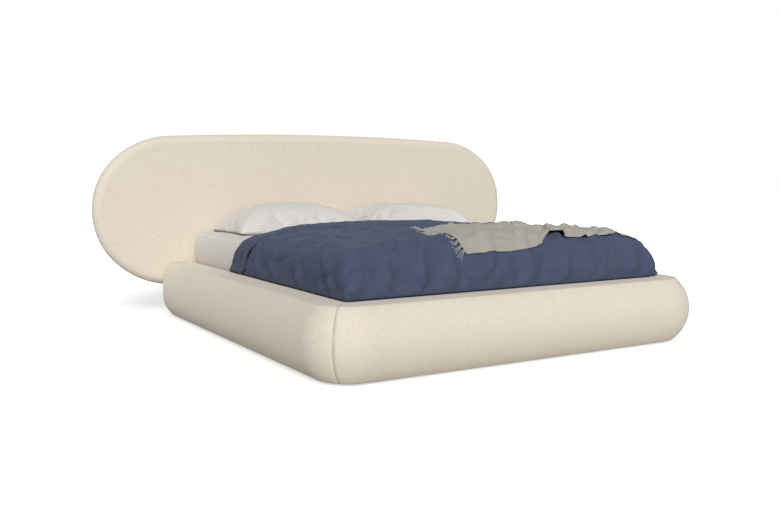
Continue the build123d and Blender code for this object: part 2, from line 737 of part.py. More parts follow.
save("headboard_bolts", Compound(children=headboard_bolts))
save("headboard_panel", panel)
save("headboard_ring", ring)
save("headboard_upright_left", upright_left)
save("headboard_upright_right", mirrored(upright_left))
save("headboard_crossrail", crossrail)
save("headboard_foam", headboard_foam)
save("headboard_cover", headboard_cover)
save("headboard_back_cloth", back_cloth)
save("headboard_leg_left", headboard_leg_left)
save("headboard_leg_right", mirrored(headboard_leg_left))
save("mattress", mattress)
save("fitted_sheet", fitted_sheet)
save("duvet", duvet)
save("throw", throw)
save("throw_fringe", Compound(children=tassels))
save("pillow_left", pillow(pillow_left_centre))
save("pillow_right", pillow(pillow_right_centre))
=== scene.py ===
import json
import math
import random

import bmesh
import bpy
import numpy as np
from mathutils import Matrix, Vector, noise
from mathutils.bvhtree import BVHTree


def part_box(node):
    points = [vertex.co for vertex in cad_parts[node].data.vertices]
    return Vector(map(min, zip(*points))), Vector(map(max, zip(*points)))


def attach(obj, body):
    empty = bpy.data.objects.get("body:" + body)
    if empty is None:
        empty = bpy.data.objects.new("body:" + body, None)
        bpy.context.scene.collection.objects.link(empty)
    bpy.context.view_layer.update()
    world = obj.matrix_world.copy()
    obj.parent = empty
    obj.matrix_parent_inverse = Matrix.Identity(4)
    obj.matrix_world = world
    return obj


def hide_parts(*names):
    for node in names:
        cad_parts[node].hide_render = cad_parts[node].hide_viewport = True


# Padded double bed: bulging rails, a wide pill-shaped headboard, dressed with bedding.
# Metres, in the frame's own axes: X across the bed, +Y towards the headboard, +Z up.
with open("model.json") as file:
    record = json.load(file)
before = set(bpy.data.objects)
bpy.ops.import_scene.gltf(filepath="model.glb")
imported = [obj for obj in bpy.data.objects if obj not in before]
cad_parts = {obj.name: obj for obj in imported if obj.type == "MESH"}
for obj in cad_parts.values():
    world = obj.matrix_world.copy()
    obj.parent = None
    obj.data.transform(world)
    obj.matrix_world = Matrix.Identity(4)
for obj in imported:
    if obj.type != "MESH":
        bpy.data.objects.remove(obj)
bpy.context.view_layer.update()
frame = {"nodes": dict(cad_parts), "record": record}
nodes = frame["nodes"]
slotOf = {part["node"]: part["material_slot"] for part in frame["record"]["subparts"]}
mm = 0.001
touching, joining = 1e-5, 1e-4     # points nearer than this are one point, or are made one

# Lines and levels that the frame gives
coverCloth = 2.5 * mm
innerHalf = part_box("rail_board_right")[0].x - coverCloth
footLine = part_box("rail_board_foot")[1].y + coverCloth
headLine, headBack = (corner.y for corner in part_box("headboard_cover"))
railLow, railTop = (corner.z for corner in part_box("rail_cover_foot"))
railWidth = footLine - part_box("rail_cover_foot")[0].y
print("frame loaded:", len(nodes), "nodes")


# Small helpers

def inMm(**sizes):
    return {name: value * mm for name, value in sizes.items()}


def clamp(value, low, high):
    return min(max(value, low), high)


def smoothStep(value, start, end):
    t = clamp((value - start) / (end - start), 0.0, 1.0)
    return t * t * (3 - 2 * t)


def toLinear(hexColour):
    channels = [int(hexColour[i:i + 2], 16) / 255 for i in (1, 3, 5)]
    linear = [c / 12.92 if c <= 0.04045 else ((c + 0.055) / 1.055) ** 2.4 for c in channels]
    return (*linear, 1.0)


def setInputs(tree, node, inputs):
    # Another node's socket is linked, any other value is set
    for name, value in inputs.items():
        if isinstance(value, bpy.types.NodeSocket):
            tree.links.new(value, node.inputs[name])
        else:
            node.inputs[name].default_value = value


def addNode(tree, kind, settings=None, inputs=None):
    node = tree.nodes.new(kind)
    for name, value in (settings or {}).items():
        setattr(node, name, value)
    setInputs(tree, node, inputs or {})
    return node


def calculate(tree, operation, *values):
    node = addNode(tree, "ShaderNodeMath", {"operation": operation}, dict(enumerate(values)))
    return node.outputs["Value"]


def ramp(tree, value, start, end, low=0.0, high=1.0, curve="LINEAR"):
    inputs = {"Value": value, "From Min": start, "From Max": end, "To Min": low, "To Max": high}
    node = addNode(tree, "ShaderNodeMapRange", {"interpolation_type": curve}, inputs)
    return node.outputs["Result"]


def objectPlace(tree):
    return addNode(tree, "ShaderNodeTexCoord").outputs["Object"]


def newMaterial(name, roughness, sheen=0.0, metallic=0.0):
    material = bpy.data.materials.new(name)
    material.use_nodes = True
    tree = material.node_tree
    shader = tree.nodes["Principled BSDF"]
    setInputs(tree, shader, {"Roughness": roughness, "Metallic": metallic, "Sheen Weight": sheen})
    return material, tree, shader


def addObject(name, data):
    thing = bpy.data.objects.new(name, data)
    bpy.context.scene.collection.objects.link(thing)
    return thing


def meshObject(bm, name):
    mesh = bpy.data.meshes.new(name)
    bm.to_mesh(mesh)
    bm.free()
    return addObject(name, mesh)


def finishPiece(bm, name, slot, body):
    piece = meshObject(bm, name)
    piece.data.materials.append(slotMaterials[slot])
    for face in piece.data.polygons:
        face.use_smooth = True
    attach(piece, body)
    return piece


def addModifier(piece, kind, **settings):
    modifier = piece.modifiers.new(kind.title(), kind)
    for name, value in settings.items():
        setattr(modifier, name, value)
    return modifier


def everythingIn(bm):
    return list(bm.verts) + list(bm.edges) + list(bm.faces)


def evenNormals(bm):
    bmesh.ops.recalc_face_normals(bm, faces=bm.faces)


def extrudeRim(bm, edges):
    # Gives the new vertices, and the new edges that join them
    grown = bmesh.ops.extrude_edge_only(bm, edges=edges)["geom"]
    verts = [g for g in grown if isinstance(g, bmesh.types.BMVert)]
    fresh = set(verts)
    return verts, [g for g in grown
                   if isinstance(g, bmesh.types.BMEdge) and fresh.issuperset(g.verts)]


def moveVerts(bm, moves):
    for vert, move in zip(bm.verts, moves):
        vert.co += move


def smoothVerts(bm, verts, factor=0.5):
    bmesh.ops.smooth_vert(bm, verts=verts, factor=factor, use_axis_x=True, use_axis_y=True,
                          use_axis_z=True)


# Camera, at the photograph's viewing angle

cameraSizes = {"place": (-2.6558, -4.2342, 0.8796), "pitch": 5.2444, "yaw": 30.9087,
               "focalPixels": 875.12, "imageWidth": 780, "sensor": 36.0}


def aim(thing, pitch, yaw):
    thing.rotation_euler = (math.radians(90 - pitch), 0, -math.radians(yaw))


def makeCamera():
    data = bpy.data.cameras.new("camera")
    data.sensor_width = cameraSizes["sensor"]
    data.lens = cameraSizes["focalPixels"] / cameraSizes["imageWidth"] * cameraSizes["sensor"]
    camera = addObject("camera", data)
    camera.location = cameraSizes["place"]
    aim(camera, cameraSizes["pitch"], cameraSizes["yaw"])
    bpy.context.scene.camera = camera


makeCamera()

# Floor and light: a white sweep that keeps the bed's soft shadow

studio = {"floorColour": "#C6C5C2", "floorRoughness": 0.9, "floorSize": 60.0, "floorLift": 0.61,
          "farLift": 1.0, "fadeStart": 1.8, "fadeEnd": 4.5, "worldStrength": 0.24,
          "sunStrength": 2.72, "sunHeight": 30.0, "sunSide": 25.0, "sunSoftness": 18.0}
white = (1, 1, 1, 1)


def makeFloor():
    bm = bmesh.new()
    bmesh.ops.create_grid(bm, x_segments=1, y_segments=1, size=studio["floorSize"] / 2)
    floor = meshObject(bm, "floor")
    material, tree, shader = newMaterial("matt white studio floor", studio["floorRoughness"])
    away = addNode(tree, "ShaderNodeVectorMath", {"operation": "LENGTH"}, {0: objectPlace(tree)})
    level = ramp(tree, away.outputs["Value"], studio["fadeStart"], studio["fadeEnd"],
                 studio["floorLift"], studio["farLift"], "SMOOTHSTEP")
    seen = addNode(tree, "ShaderNodeLightPath").outputs["Is Camera Ray"]
    setInputs(tree, shader, {"Base Color": toLinear(studio["floorColour"]), "Emission Color": white,
                             "Emission Strength": calculate(tree, "MULTIPLY", seen, level)})
    floor.data.materials.append(material)


def makeWorld():
    world = bpy.data.worlds.new("white studio")
    bpy.context.scene.world = world
    world.use_nodes = True
    tree = world.node_tree
    paths = addNode(tree, "ShaderNodeLightPath").outputs
    seen = paths["Is Camera Ray"]
    for name in ("Is Glossy Ray", "Is Transmission Ray"):
        seen = calculate(tree, "MAXIMUM", seen, paths[name])
    strength = ramp(tree, seen, 0.0, 1.0, studio["worldStrength"])
    setInputs(tree, tree.nodes["Background"], {"Color": white, "Strength": strength})


def makeSun():
    # A soft, even light from the front, a little to the camera's side
    data = bpy.data.lights.new("key", "SUN")
    data.energy = studio["sunStrength"]
    data.angle = math.radians(studio["sunSoftness"])
    aim(addObject("key", data), studio["sunHeight"], studio["sunSide"])


makeFloor()
makeWorld()
makeSun()
bpy.context.scene.view_settings.view_transform = "Standard"
print("camera, floor and lights set")


# Materials

def noiseAt(tree, place, sizeMm, **inputs):
    inputs.update({"Vector": place, "Scale": 1 / (sizeMm * mm)})
    return addNode(tree, "ShaderNodeTexNoise", None, inputs).outputs["Fac"]


def spotsAt(tree, place, sizeMm, feature="F1", **inputs):
    inputs.update({"Vector": place, "Scale": 1 / (sizeMm * mm)})
    return addNode(tree, "ShaderNodeTexVoronoi", {"feature": feature}, inputs).outputs["Distance"]


def mixTones(tree, factor, first, second):
    # A tone is a hex colour or a socket; 6, 7 and 2 are the mix node's colour sockets
    tones = [toLinear(tone) if isinstance(tone, str) else tone for tone in (first, second)]
    return addNode(tree, "ShaderNodeMix", {"data_type": "RGBA"},
                   {"Factor": factor, 6: tones[0], 7: tones[1]}).outputs[2]


def relief(tree, height, strength, depthMm, invert=False, **inputs):
    inputs.update({"Height": height, "Strength": strength, "Distance": depthMm * mm})
    return addNode(tree, "ShaderNodeBump", {"invert": invert}, inputs).outputs["Normal"]


def wovenCloth(name, colours, threadMm, bumpMm, roughness, sheen, mottleMm):
    # Cloth seen from a step away: nubs of yarn, a faint mottle, soft sheen at the edges
    material, tree, shader = newMaterial(name, roughness, sheen)
    place = objectPlace(tree)
    yarn = spotsAt(tree, place, threadMm, "SMOOTH_F1", Smoothness=0.6)
    mottle = mixTones(tree, noiseAt(tree, place, mottleMm, Detail=3.0), colours[0], colours[1])
    tone = mixTones(tree, ramp(tree, yarn, start=0.1, end=0.7, high=0.55), mottle, colours[2])
    bump = relief(tree, yarn, strength=0.5, depthMm=bumpMm, invert=True)
    setInputs(tree, shader, {"Base Color": tone, "Normal": bump})
    return material


def washedCotton(name, colours, creaseMm, roughness):
    # Prewashed cotton: fine crinkles, a grain of threads, colour painted darker in the crinkles'
    # hollows as painted shade and lighter on their ridges as painted light
    material, tree, shader = newMaterial(name, roughness)
    place = objectPlace(tree)
    crinkle = noiseAt(tree, place, creaseMm, Detail=5.0, Roughness=0.55, Distortion=0.8)
    threads = noiseAt(tree, place, sizeMm=2.5, Detail=1.0)     # drawn coarse
    coarse = relief(tree, crinkle, strength=0.8, depthMm=14)
    fine = relief(tree, threads, strength=0.3, depthMm=0.5, Normal=coarse)
    # Base colour follows the crinkle height: painted shade in its hollows, painted light on its
    # ridges
    setInputs(tree, shader, {"Base Color": mixTones(tree, crinkle, *colours), "Normal": fine})
    return material


def stripedCotton(name, colours, pitchMm, stripeShare, roughness, sheen):
    # Yarn-dyed cotton: thin grey-beige stripes across the piece's own map, in metres
    material, tree, shader = newMaterial(name, roughness, sheen)
    place = addNode(tree, "ShaderNodeUVMap", {"uv_map": "cloth"}).outputs["UV"]
    across = addNode(tree, "ShaderNodeSeparateXYZ", None, {0: place}).outputs["Y"]
    part = calculate(tree, "FRACT", calculate(tree, "DIVIDE", across, pitchMm * mm))
    line = ramp(tree, part, start=stripeShare * 1.5, end=stripeShare * 0.5, curve="SMOOTHSTEP")
    bump = relief(tree, noiseAt(tree, place, sizeMm=20, Detail=4.0), strength=0.3, depthMm=2)
    setInputs(tree, shader, {"Base Color": mixTones(tree, line, *colours), "Normal": bump})
    return material


def planedWood(name, colours, grainAxis, grainMm, roughness, streakShare=40):
    # Planed softwood or a peeled veneer: streaks along one axis, many times as long as wide
    material, tree, shader = newMaterial(name, roughness)
    stretch = [1 / (grainMm * mm)] * 3
    stretch[grainAxis] = 1 / (grainMm * streakShare * mm)
    place = addNode(tree, "ShaderNodeMapping", None,
                    {"Vector": objectPlace(tree), "Scale": stretch}).outputs["Vector"]
    streak = noiseAt(tree, place, sizeMm=1000, Detail=4.0, Distortion=0.4)     # sized by stretch
    bump = relief(tree, streak, strength=0.2, depthMm=0.4)
    setInputs(tree, shader, {"Base Color": mixTones(tree, streak, *colours), "Normal": bump})
    return material


def brushedSteel(name, colours, roughness, spotMm):
    # Zinc-plated sheet steel: a bluish grey spangle
    material, tree, shader = newMaterial(name, roughness, metallic=1.0)
    spangle = spotsAt(tree, objectPlace(tree), spotMm)
    setInputs(tree, shader, {"Base Color": mixTones(tree, spangle, *colours)})
    return material


def mouldedPlastic(name, colour, roughness):
    # Injection-moulded polypropylene: a fine spark-eroded grain
    material, tree, shader = newMaterial(name, roughness)
    bump = relief(tree, noiseAt(tree, objectPlace(tree), sizeMm=1.0), strength=0.2, depthMm=0.1)
    setInputs(tree, shader, {"Base Color": toLinear(colour), "Normal": bump})
    return material


# Woven cloths: thread and relief in mm, roughness, sheen, mottle in mm
slotMaterials = {
    "upholstery": wovenCloth("wool-blend upholstery, nubbly weave",
                             ("#EFE7DB", "#D9CEBC", "#CDC1AE"), 5.0, 1.2, 0.9, 0.2, 11),
    "throw_wool": wovenCloth("fine wool weave, sage grey", ("#B0AEA4", "#A5A398", "#918F86"),
                             3.0, 0.6, 0.9, 0.2, 60),
    "mattress_ticking": wovenCloth("knitted mattress ticking", ("#EDECEA", "#E4E3E0", "#D6D5D2"),
                                   5.0, 1.0, 0.9, 0.2, 60),
    "lining": wovenCloth("beige lining cloth, plain weave", ("#A89E8C", "#9F9583", "#8E8574"),
                         2.5, 0.3, 0.9, 0.1, 50),
    "foam": wovenCloth("cut polyurethane foam", ("#E2D9B8", "#D9CFA9", "#C6BB92"),
                       2.0, 0.6, 0.95, 0.0, 40),
    "webbing": wovenCloth("woven cotton tape", ("#DAD6CA", "#CFCABC", "#BAB4A4"),
                          2.0, 0.4, 0.9, 0.1, 30),
    # The duvet's darker tone is painted shade in the crinkles, its lighter tone painted light on
    # their ridges
    "duvet_cotton": washedCotton("prewashed slate cotton", ("#353E55", "#464F69"),
                                 creaseMm=85, roughness=0.85),
    "striped_cotton": stripedCotton("yarn-dyed striped cotton", ("#D8D5D0", "#BEB9B2"),
                                    pitchMm=16.0, stripeShare=0.14, roughness=0.8, sheen=0.1),
    "zinc_steel": brushedSteel("zinc-plated steel", ("#B9BCC0", "#9EA2A8"),
                               roughness=0.38, spotMm=6.0),
    "black_plastic": mouldedPlastic("moulded black polypropylene", "#1B1B1C", roughness=0.5)}
woods = {slot: [planedWood("%s, grain along %s" % (name, letter), colours, axis, grainMm, roughness)
                for axis, letter in enumerate("XYZ")]
         for slot, name, colours, grainMm, roughness in (
             ("pine", "planed pine", ("#D9B98A", "#C79F6A"), 6.0, 0.55),
             ("plywood", "sanded birch plywood", ("#C7A675", "#AF8B5B"), 4.0, 0.5))}


def woodFor(name, slot):
    # The wood whose grain runs along the piece
    low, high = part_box(name)
    size = list(high - low)
    return woods[slot][size.index(max(size))]


for name, node in nodes.items():
    slot = slotOf[name]
    material = slotMaterials.get(slot) or woodFor(name, slot)
    node.data.materials.clear()
    node.data.materials.append(material)
print("materials set")


# Rails: one profile from the staple line over the top and down the bulge, extruded and spun

rail = {**inMm(topWidth=135, footInset=24, staple=270, innerEdge=8, outerEdge=14, heel=28,
               cornerRadius=160, rearRadius=58, rearGap=1, longest=40, seamDepth=0.5, seamReach=5,
               softness=1.4, flatRise=40),
        "seamSpan": 0.03, "bulgeShare": 0.537, "arcSteps": 26, "bevelSteps": 5, "flatCuts": 7,
        "cuts": 70, "bendSteps": 10, "mitre": 45.0, "swellScale": 3.0}
cornerOut = rail["topWidth"] - rail["cornerRadius"]   # the foot corners' axes, from the inner faces
cornerX = innerHalf + cornerOut
cornerY = footLine - cornerOut
mirrorX = Matrix.Diagonal((-1, 1, 1, 1))


def bulgeCircle():
    # Circle through the rail's top edge, its widest point and its foot
    points = [(rail["topWidth"], railTop), (railWidth, railTop * rail["bulgeShare"]),
              (rail["topWidth"] - rail["footInset"], 0)]
    rows = [[2 * u, 2 * z, 1] for u, z in points]
    centre = np.linalg.solve(rows, [u * u + z * z for u, z in points])
    radius = math.hypot(points[0][0] - centre[0], points[0][1] - centre[1])
    return centre[0], centre[1], radius


def growTo(bm, vert, place):
    new = bmesh.ops.extrude_vert_indiv(bm, verts=[vert])["verts"][0]
    new.co = place
    return new


def railProfile(bm):
    # In the XZ plane, x outwards from the rail's inner face
    centreU, centreZ, radius = bulgeCircle()
    topTurn = math.asin((railTop - centreZ) / radius)
    lowTurn = math.asin((railLow - centreZ) / radius)
    start = bm.verts.new((0, 0, rail["staple"]))
    inner = growTo(bm, start, (0, 0, railTop))
    outer = growTo(bm, inner, (centreU + radius * math.cos(topTurn), 0, railTop))
    bmesh.ops.spin(bm, geom=[outer], cent=(centreU, 0, centreZ), axis=(0, 1, 0),
                   angle=topTurn - lowTurn, steps=rail["arcSteps"])
    bm.verts.ensure_lookup_table()
    heel = min((v for v in bm.verts if v.co.x > rail["topWidth"] / 2), key=lambda v: v.co.z)
    growTo(bm, heel, (0, 0, railLow))
    for vert, edgeRadius, turn in ((inner, rail["innerEdge"], math.pi / 2),
                                   (outer, rail["outerEdge"], math.pi / 2 - topTurn),
                                   (heel, rail["heel"], math.pi / 2 + lowTurn)):
        bmesh.ops.bevel(bm, geom=[vert], offset=edgeRadius * math.tan(turn / 2),
                        segments=rail["bevelSteps"], profile=0.5, affect="VERTICES", material=-1)
    long = [e for e in bm.edges if e.calc_length() > rail["longest"]]
    bmesh.ops.subdivide_edges(bm, edges=long, cuts=rail["flatCuts"])


def seamValley(distance):
    # A sewn seam pulls the cloth in beside its stitches
    return rail["seamDepth"] * math.exp(-(distance / rail["seamReach"]) ** 2)


def clothSwell(co, scale, height, finer=2.3, less=0.5):
    # Slow, uneven swelling of padding under cloth: outwards only
    value = noise.noise(co * scale) + less * noise.noise(co * scale * finer)
    return height * (0.5 + 0.5 * clamp(value, -1.0, 1.0))


def capRail(bm, rear):
    edge = [e for e in bm.edges
            if e.is_boundary and all(abs(v.co.y - rear) < touching for v in e.verts)]
    ends = [v for v in {v for e in edge for v in e.verts}
            if sum(1 for e in v.link_edges if e in edge) == 1]
    closing = bm.edges.new(ends)
    bmesh.ops.edgeloop_fill(bm, edges=edge + [closing])


def bendAndRun(bm, corner, axis, run, cuts):
    # Spins the profile back to the corner's mitre, and draws it out straight along one axis
    bmesh.ops.spin(bm, geom=list(bm.verts) + list(bm.edges), cent=corner, axis=(0, 0, 1),
                   angle=-math.radians(rail["mitre"]), steps=rail["bendSteps"])
    straight = [e for e in bm.edges
                if all(abs(v.co[axis] - corner[axis]) < touching for v in e.verts)]
    move = Vector()
    move[axis] = run
    bmesh.ops.translate(bm, verts=extrudeRim(bm, straight)[0], vec=move)
    long = [e for e in bm.edges if e.calc_length() > run / 2]
    bmesh.ops.subdivide_edges(bm, edges=long, cuts=cuts, use_grid_fill=True)
    bmesh.ops.remove_doubles(bm, verts=bm.verts, dist=touching)


def makeSideRail():
    # The left rail: from the mitre at the foot corner to the headboard
    bm = bmesh.new()
    railProfile(bm)
    rear = headLine - rail["rearGap"]
    bmesh.ops.translate(bm, verts=bm.verts, vec=(0, cornerY, 0))
    bendAndRun(bm, (cornerOut, cornerY, 0), 1, rear - cornerY, rail["cuts"])
    bmesh.ops.transform(bm, matrix=Matrix.Translation((-innerHalf, 0, 0)) @ mirrorX, verts=bm.verts)
    evenNormals(bm)
    roundRear(bm, rear)
    capRail(bm, rear)
    evenNormals(bm)
    return bm


def roundRear(bm, rear):
    # The bulge draws in to a rounded end where the rail meets the headboard
    reach = rail["rearRadius"]
    flat = railWidth - reach
    for vert in bm.verts:
        back = vert.co.y - (rear - reach)
        out = abs(vert.co.x) - innerHalf - flat
        if back > 0 and out > 0:
            keep = math.sqrt(max(0.0, 1 - (min(back, reach) / reach) ** 2))
            vert.co.x = math.copysign(innerHalf + flat + out * keep, vert.co.x)


def makeFootRail():
    # Turned so that the profile points to the foot, at the left corner's axis
    bm = bmesh.new()
    railProfile(bm)
    turn = Matrix.Translation((-cornerX, footLine, 0)) @ Matrix.Rotation(-math.pi / 2, 4, "Z")
    bmesh.ops.transform(bm, matrix=turn, verts=bm.verts)
    bendAndRun(bm, (-cornerX, cornerY, 0), 0, cornerX, rail["cuts"] // 2)
    bmesh.ops.mirror(bm, geom=everythingIn(bm), axis="X", merge_dist=touching)
    bmesh.ops.remove_doubles(bm, verts=bm.verts, dist=touching)
    evenNormals(bm)
    return bm


def outwardsOf(bm):
    # Points every face away from the rail's core; the widest face tells which way that is
    widest = max(bm.faces, key=lambda f: f.calc_center_median().xy.length)
    if widest.normal.xy.dot(widest.calc_center_median().xy) < 0:
        bmesh.ops.reverse_faces(bm, faces=bm.faces)
    bm.normal_update()


def softenRail(bm):
    # Padding swells a little above the flat bottom, and the mitre seams lie in a shallow valley
    outwardsOf(bm)
    flatTop = railLow + rail["flatRise"]
    moves = []
    for vert in bm.verts:
        swell = clothSwell(vert.co, rail["swellScale"], rail["softness"])
        side = Vector((abs(vert.co.x) - cornerX, vert.co.y - cornerY))
        if side.x > -rail["seamSpan"] and side.y < rail["seamSpan"]:
            swell -= seamValley(abs(side.x + side.y) / math.sqrt(2))
        moves.append(vert.normal * swell * smoothStep(vert.co.z, railLow, flatTop))
    moveVerts(bm, moves)


def makeRails():
    left = makeSideRail()
    right = left.copy()
    bmesh.ops.transform(right, matrix=mirrorX, verts=right.verts)
    for bm, side in ((left, "left"), (right, "right"), (makeFootRail(), "foot")):
        softenRail(bm)
        piece = finishPiece(bm, "railCover_" + side, "upholstery", "frame")
        addModifier(piece, "SOLIDIFY", thickness=coverCloth, offset=-1.0)
        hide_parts("rail_cover_" + side)


makeRails()
print("rails covered")


# Headboard cover: rings that step in from the pill's outline, front and back

head = {**inMm(width=3014, height=972, middle=658, endRadius=440, shoulderRadius=530, edge=50,
               crown=7, lastInset=425, backOpening=80, backRim=1, panelInset=52, foamGap=3,
               softness=1.5),
        "endAngle": 50.0, "crownPower": 1.5, "swellScale": 2.6, "clothShare": 0.4, "endSteps": 26,
        "shoulderSteps": 10, "crownSteps": 56, "roundSteps": 9, "faceSteps": 13}
endTurn = math.radians(head["endAngle"])
endX = head["width"] / 2 - head["endRadius"]


def pillArcs():
    # Centre x and z of each arc of the outline, the angle that it turns through, and its steps
    step = head["shoulderRadius"] - head["endRadius"]
    shoulderX = endX - step * math.cos(endTurn)
    shoulderZ = -step * math.sin(endTurn)
    rise = head["height"] / 2 - shoulderZ
    crownRadius = shoulderX ** 2 + rise ** 2 - head["shoulderRadius"] ** 2
    crownRadius /= 2 * (rise - head["shoulderRadius"])
    crownZ = head["height"] / 2 - crownRadius
    crownTurn = math.atan2(shoulderZ - crownZ, shoulderX)
    end = (2 * endTurn, head["endSteps"])
    shoulder = (crownTurn - endTurn, head["shoulderSteps"])
    crown = (math.pi - 2 * crownTurn, head["crownSteps"])
    arcs = []
    for side in (1, -1):     # over the top, then back below
        arcs += [(side * endX, 0, *end), (side * shoulderX, side * shoulderZ, *shoulder),
                 (0, side * crownZ, *crown), (-side * shoulderX, side * shoulderZ, *shoulder)]
    return arcs


def pillOutline(bm):
    # Spins one vertex from arc to arc, and notes each vertex's outward direction
    reach = head["endRadius"]
    current = bm.verts.new((endX + reach * math.cos(endTurn), 0, -reach * math.sin(endTurn)))
    outward = {}
    for x, z, angle, steps in pillArcs():
        known = set(bm.verts)
        bmesh.ops.spin(bm, geom=[current], cent=(x, 0, z), axis=(0, -1, 0), angle=angle,
                       steps=steps)
        fresh = [v for v in bm.verts if v not in known]
        for vert in fresh:
            outward[vert] = Vector((vert.co.x - x, 0, vert.co.z - z)).normalized()
        current = fresh[-1]
    merged = bmesh.ops.find_doubles(bm, verts=bm.verts, dist=joining)["targetmap"]
    bmesh.ops.weld_verts(bm, targetmap=merged)
    return outward


def faceDepth(inset, shrink):
    # How far the front lies behind its highest part: edge rounding, then a slow crown
    edge = head["edge"] - shrink
    over = edge + shrink - inset
    rise = 1 - smoothStep(inset, 0, head["lastInset"])
    slow = shrink + head["crown"] * rise ** head["crownPower"]
    return slow + (edge - math.sqrt(edge ** 2 - over ** 2) if over > 0 else 0)


def growRing(bm, rim, inset, y, previous):
    # A further ring, inset from the outline; each vertex knows its outline place and direction
    verts, rimEdges = extrudeRim(bm, rim)
    fresh = {}
    for vert in verts:
        source = next(e.other_vert(vert) for e in vert.link_edges if e.other_vert(vert) in previous)
        fresh[vert] = place, direction = previous[source]
        vert.co = place - direction * inset
        vert.co.y = y
    return rimEdges, fresh


def headboardShell(shrink):
    # Front, rounded edge and back rim of the pill, drawn in by the given length
    bm = bmesh.new()
    outward = pillOutline(bm)
    edge = head["edge"] - shrink
    seed = Vector((math.cos(endTurn), 0, -math.sin(endTurn)))   # at the outline's first place
    base = {v: (v.co.copy(), outward.get(v, seed)) for v in bm.verts}
    outline = list(bm.edges)
    for vert, (place, direction) in base.items():
        vert.co = place - direction * shrink
        vert.co.y = headLine + faceDepth(shrink, shrink)
    turns = [k / head["roundSteps"] * math.pi / 2 for k in range(head["roundSteps"] + 1)]
    insets = [shrink + edge * (1 - math.cos(turn)) for turn in turns]
    faceRun, steps = head["lastInset"] - head["edge"], head["faceSteps"]
    faceInsets = [head["edge"] + faceRun * k / steps for k in range(1, steps + 1)]
    rim, ring = outline, base
    for inset in insets[1:] + faceInsets:
        rim, ring = growRing(bm, rim, inset, headLine + faceDepth(inset, shrink), ring)
    bmesh.ops.edgeloop_fill(bm, edges=rim)
    rim, ring = outline, base
    for turn, inset in zip(turns, insets):
        rim, ring = growRing(bm, rim, inset, headBack - head["edge"] + edge * math.sin(turn), ring)
    return bm, rim, ring


def frontOutwards(bm):
    evenNormals(bm)
    front = min(bm.faces, key=lambda f: f.calc_center_median().y)
    if front.normal.y > 0:
        bmesh.ops.reverse_faces(bm, faces=bm.faces)
    bm.normal_update()


def makeHeadboard():
    bm, rim, ring = headboardShell(0)
    growRing(bm, rim, head["backOpening"], headBack, ring)
    frontOutwards(bm)
    moves = [v.normal * -clothSwell(v.co, head["swellScale"], head["softness"]) for v in bm.verts]
    for vert, move in zip(bm.verts, moves):
        if vert.co.y < headBack - head["backRim"]:
            vert.co += move
    bmesh.ops.translate(bm, verts=bm.verts, vec=(0, 0, head["middle"]))
    piece = finishPiece(bm, "headboardCover", "upholstery", "frame")
    addModifier(piece, "SOLIDIFY", thickness=coverCloth * head["clothShare"], offset=-1.0)
    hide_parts("headboard_cover")


def makeHeadboardFoam():
    # The filling: wrapped round the panel's edge, with a pocket for the panel
    bm, rim, ring = headboardShell(head["foamGap"])
    pocket = head["panelInset"]
    rim, ring = growRing(bm, rim, pocket, headBack - head["foamGap"], ring)
    rim, ring = growRing(bm, rim, pocket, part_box("headboard_panel")[0].y, ring)
    bmesh.ops.edgeloop_fill(bm, edges=rim)
    frontOutwards(bm)
    bmesh.ops.translate(bm, verts=bm.verts, vec=(0, 0, head["middle"]))
    piece = finishPiece(bm, "headboardFoam", "foam", "frame")
    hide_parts("headboard_foam")


makeHeadboard()
makeHeadboardFoam()
print("headboard covered")


# Boxes of cloth and filling: a grid on a box, softened at its corners and edges

def gridBox(low, high, cuts, openSides=()):
    bm = bmesh.new()
    bmesh.ops.create_cube(bm, size=1.0)
    for axis in range(3):
        run = [e for e in bm.edges if abs((e.verts[0].co - e.verts[1].co)[axis]) > 0.5]
        bmesh.ops.subdivide_edges(bm, edges=run, cuts=cuts[axis], use_grid_fill=True)
    bmesh.ops.scale(bm, verts=bm.verts, vec=high - low)
    bmesh.ops.translate(bm, verts=bm.verts, vec=(low + high) / 2)
    bm.normal_update()
    away = [f for f in bm.faces if any(f.normal.dot(Vector(side)) > 0.9 for side in openSides)]
    bmesh.ops.delete(bm, geom=away, context="FACES")
    return bm


def softenPoint(p, low, high, planRadius, edgeRadius):
    # Rounds the box's upright corners in plan, then its top edges
    nearX = clamp(p.x, low.x + planRadius, high.x - planRadius)
    nearY = clamp(p.y, low.y + planRadius, high.y - planRadius)
    out = Vector((p.x - nearX, p.y - nearY))
    if abs(out.x) > 0 and abs(out.y) > 0:
        out *= max(abs(out.x), abs(out.y)) / out.length
    reach = out.length
    z = p.z
    if reach > 0:
        a = reach - (planRadius - edgeRadius)
        b = p.z - (high.z - edgeRadius)
        if a > 0 and b > 0:
            shrink = max(a, b) / math.hypot(a, b)
            z = high.z - edgeRadius + b * shrink
            out *= (planRadius - edgeRadius + a * shrink) / reach
    return Vector((nearX + out.x, nearY + out.y, z))


# Mattress and fitted sheet

bedding = {**inMm(sheet=2, hem=1, planRadius=42, edgeRadius=36, step=24, mattressStep=50,
                  quiltDepth=2, underside=1, wrinkle=1.6, bulge=17),
           "quiltPitch": 0.2, "wrinkleScale": 9.0, "endBulge": 0.1, "bareFrom": -0.1, "bareTo": 0.4}
mattressLow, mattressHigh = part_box("mattress")


def cutsFor(low, high, step):
    return [max(1, round(side / step)) for side in high - low]


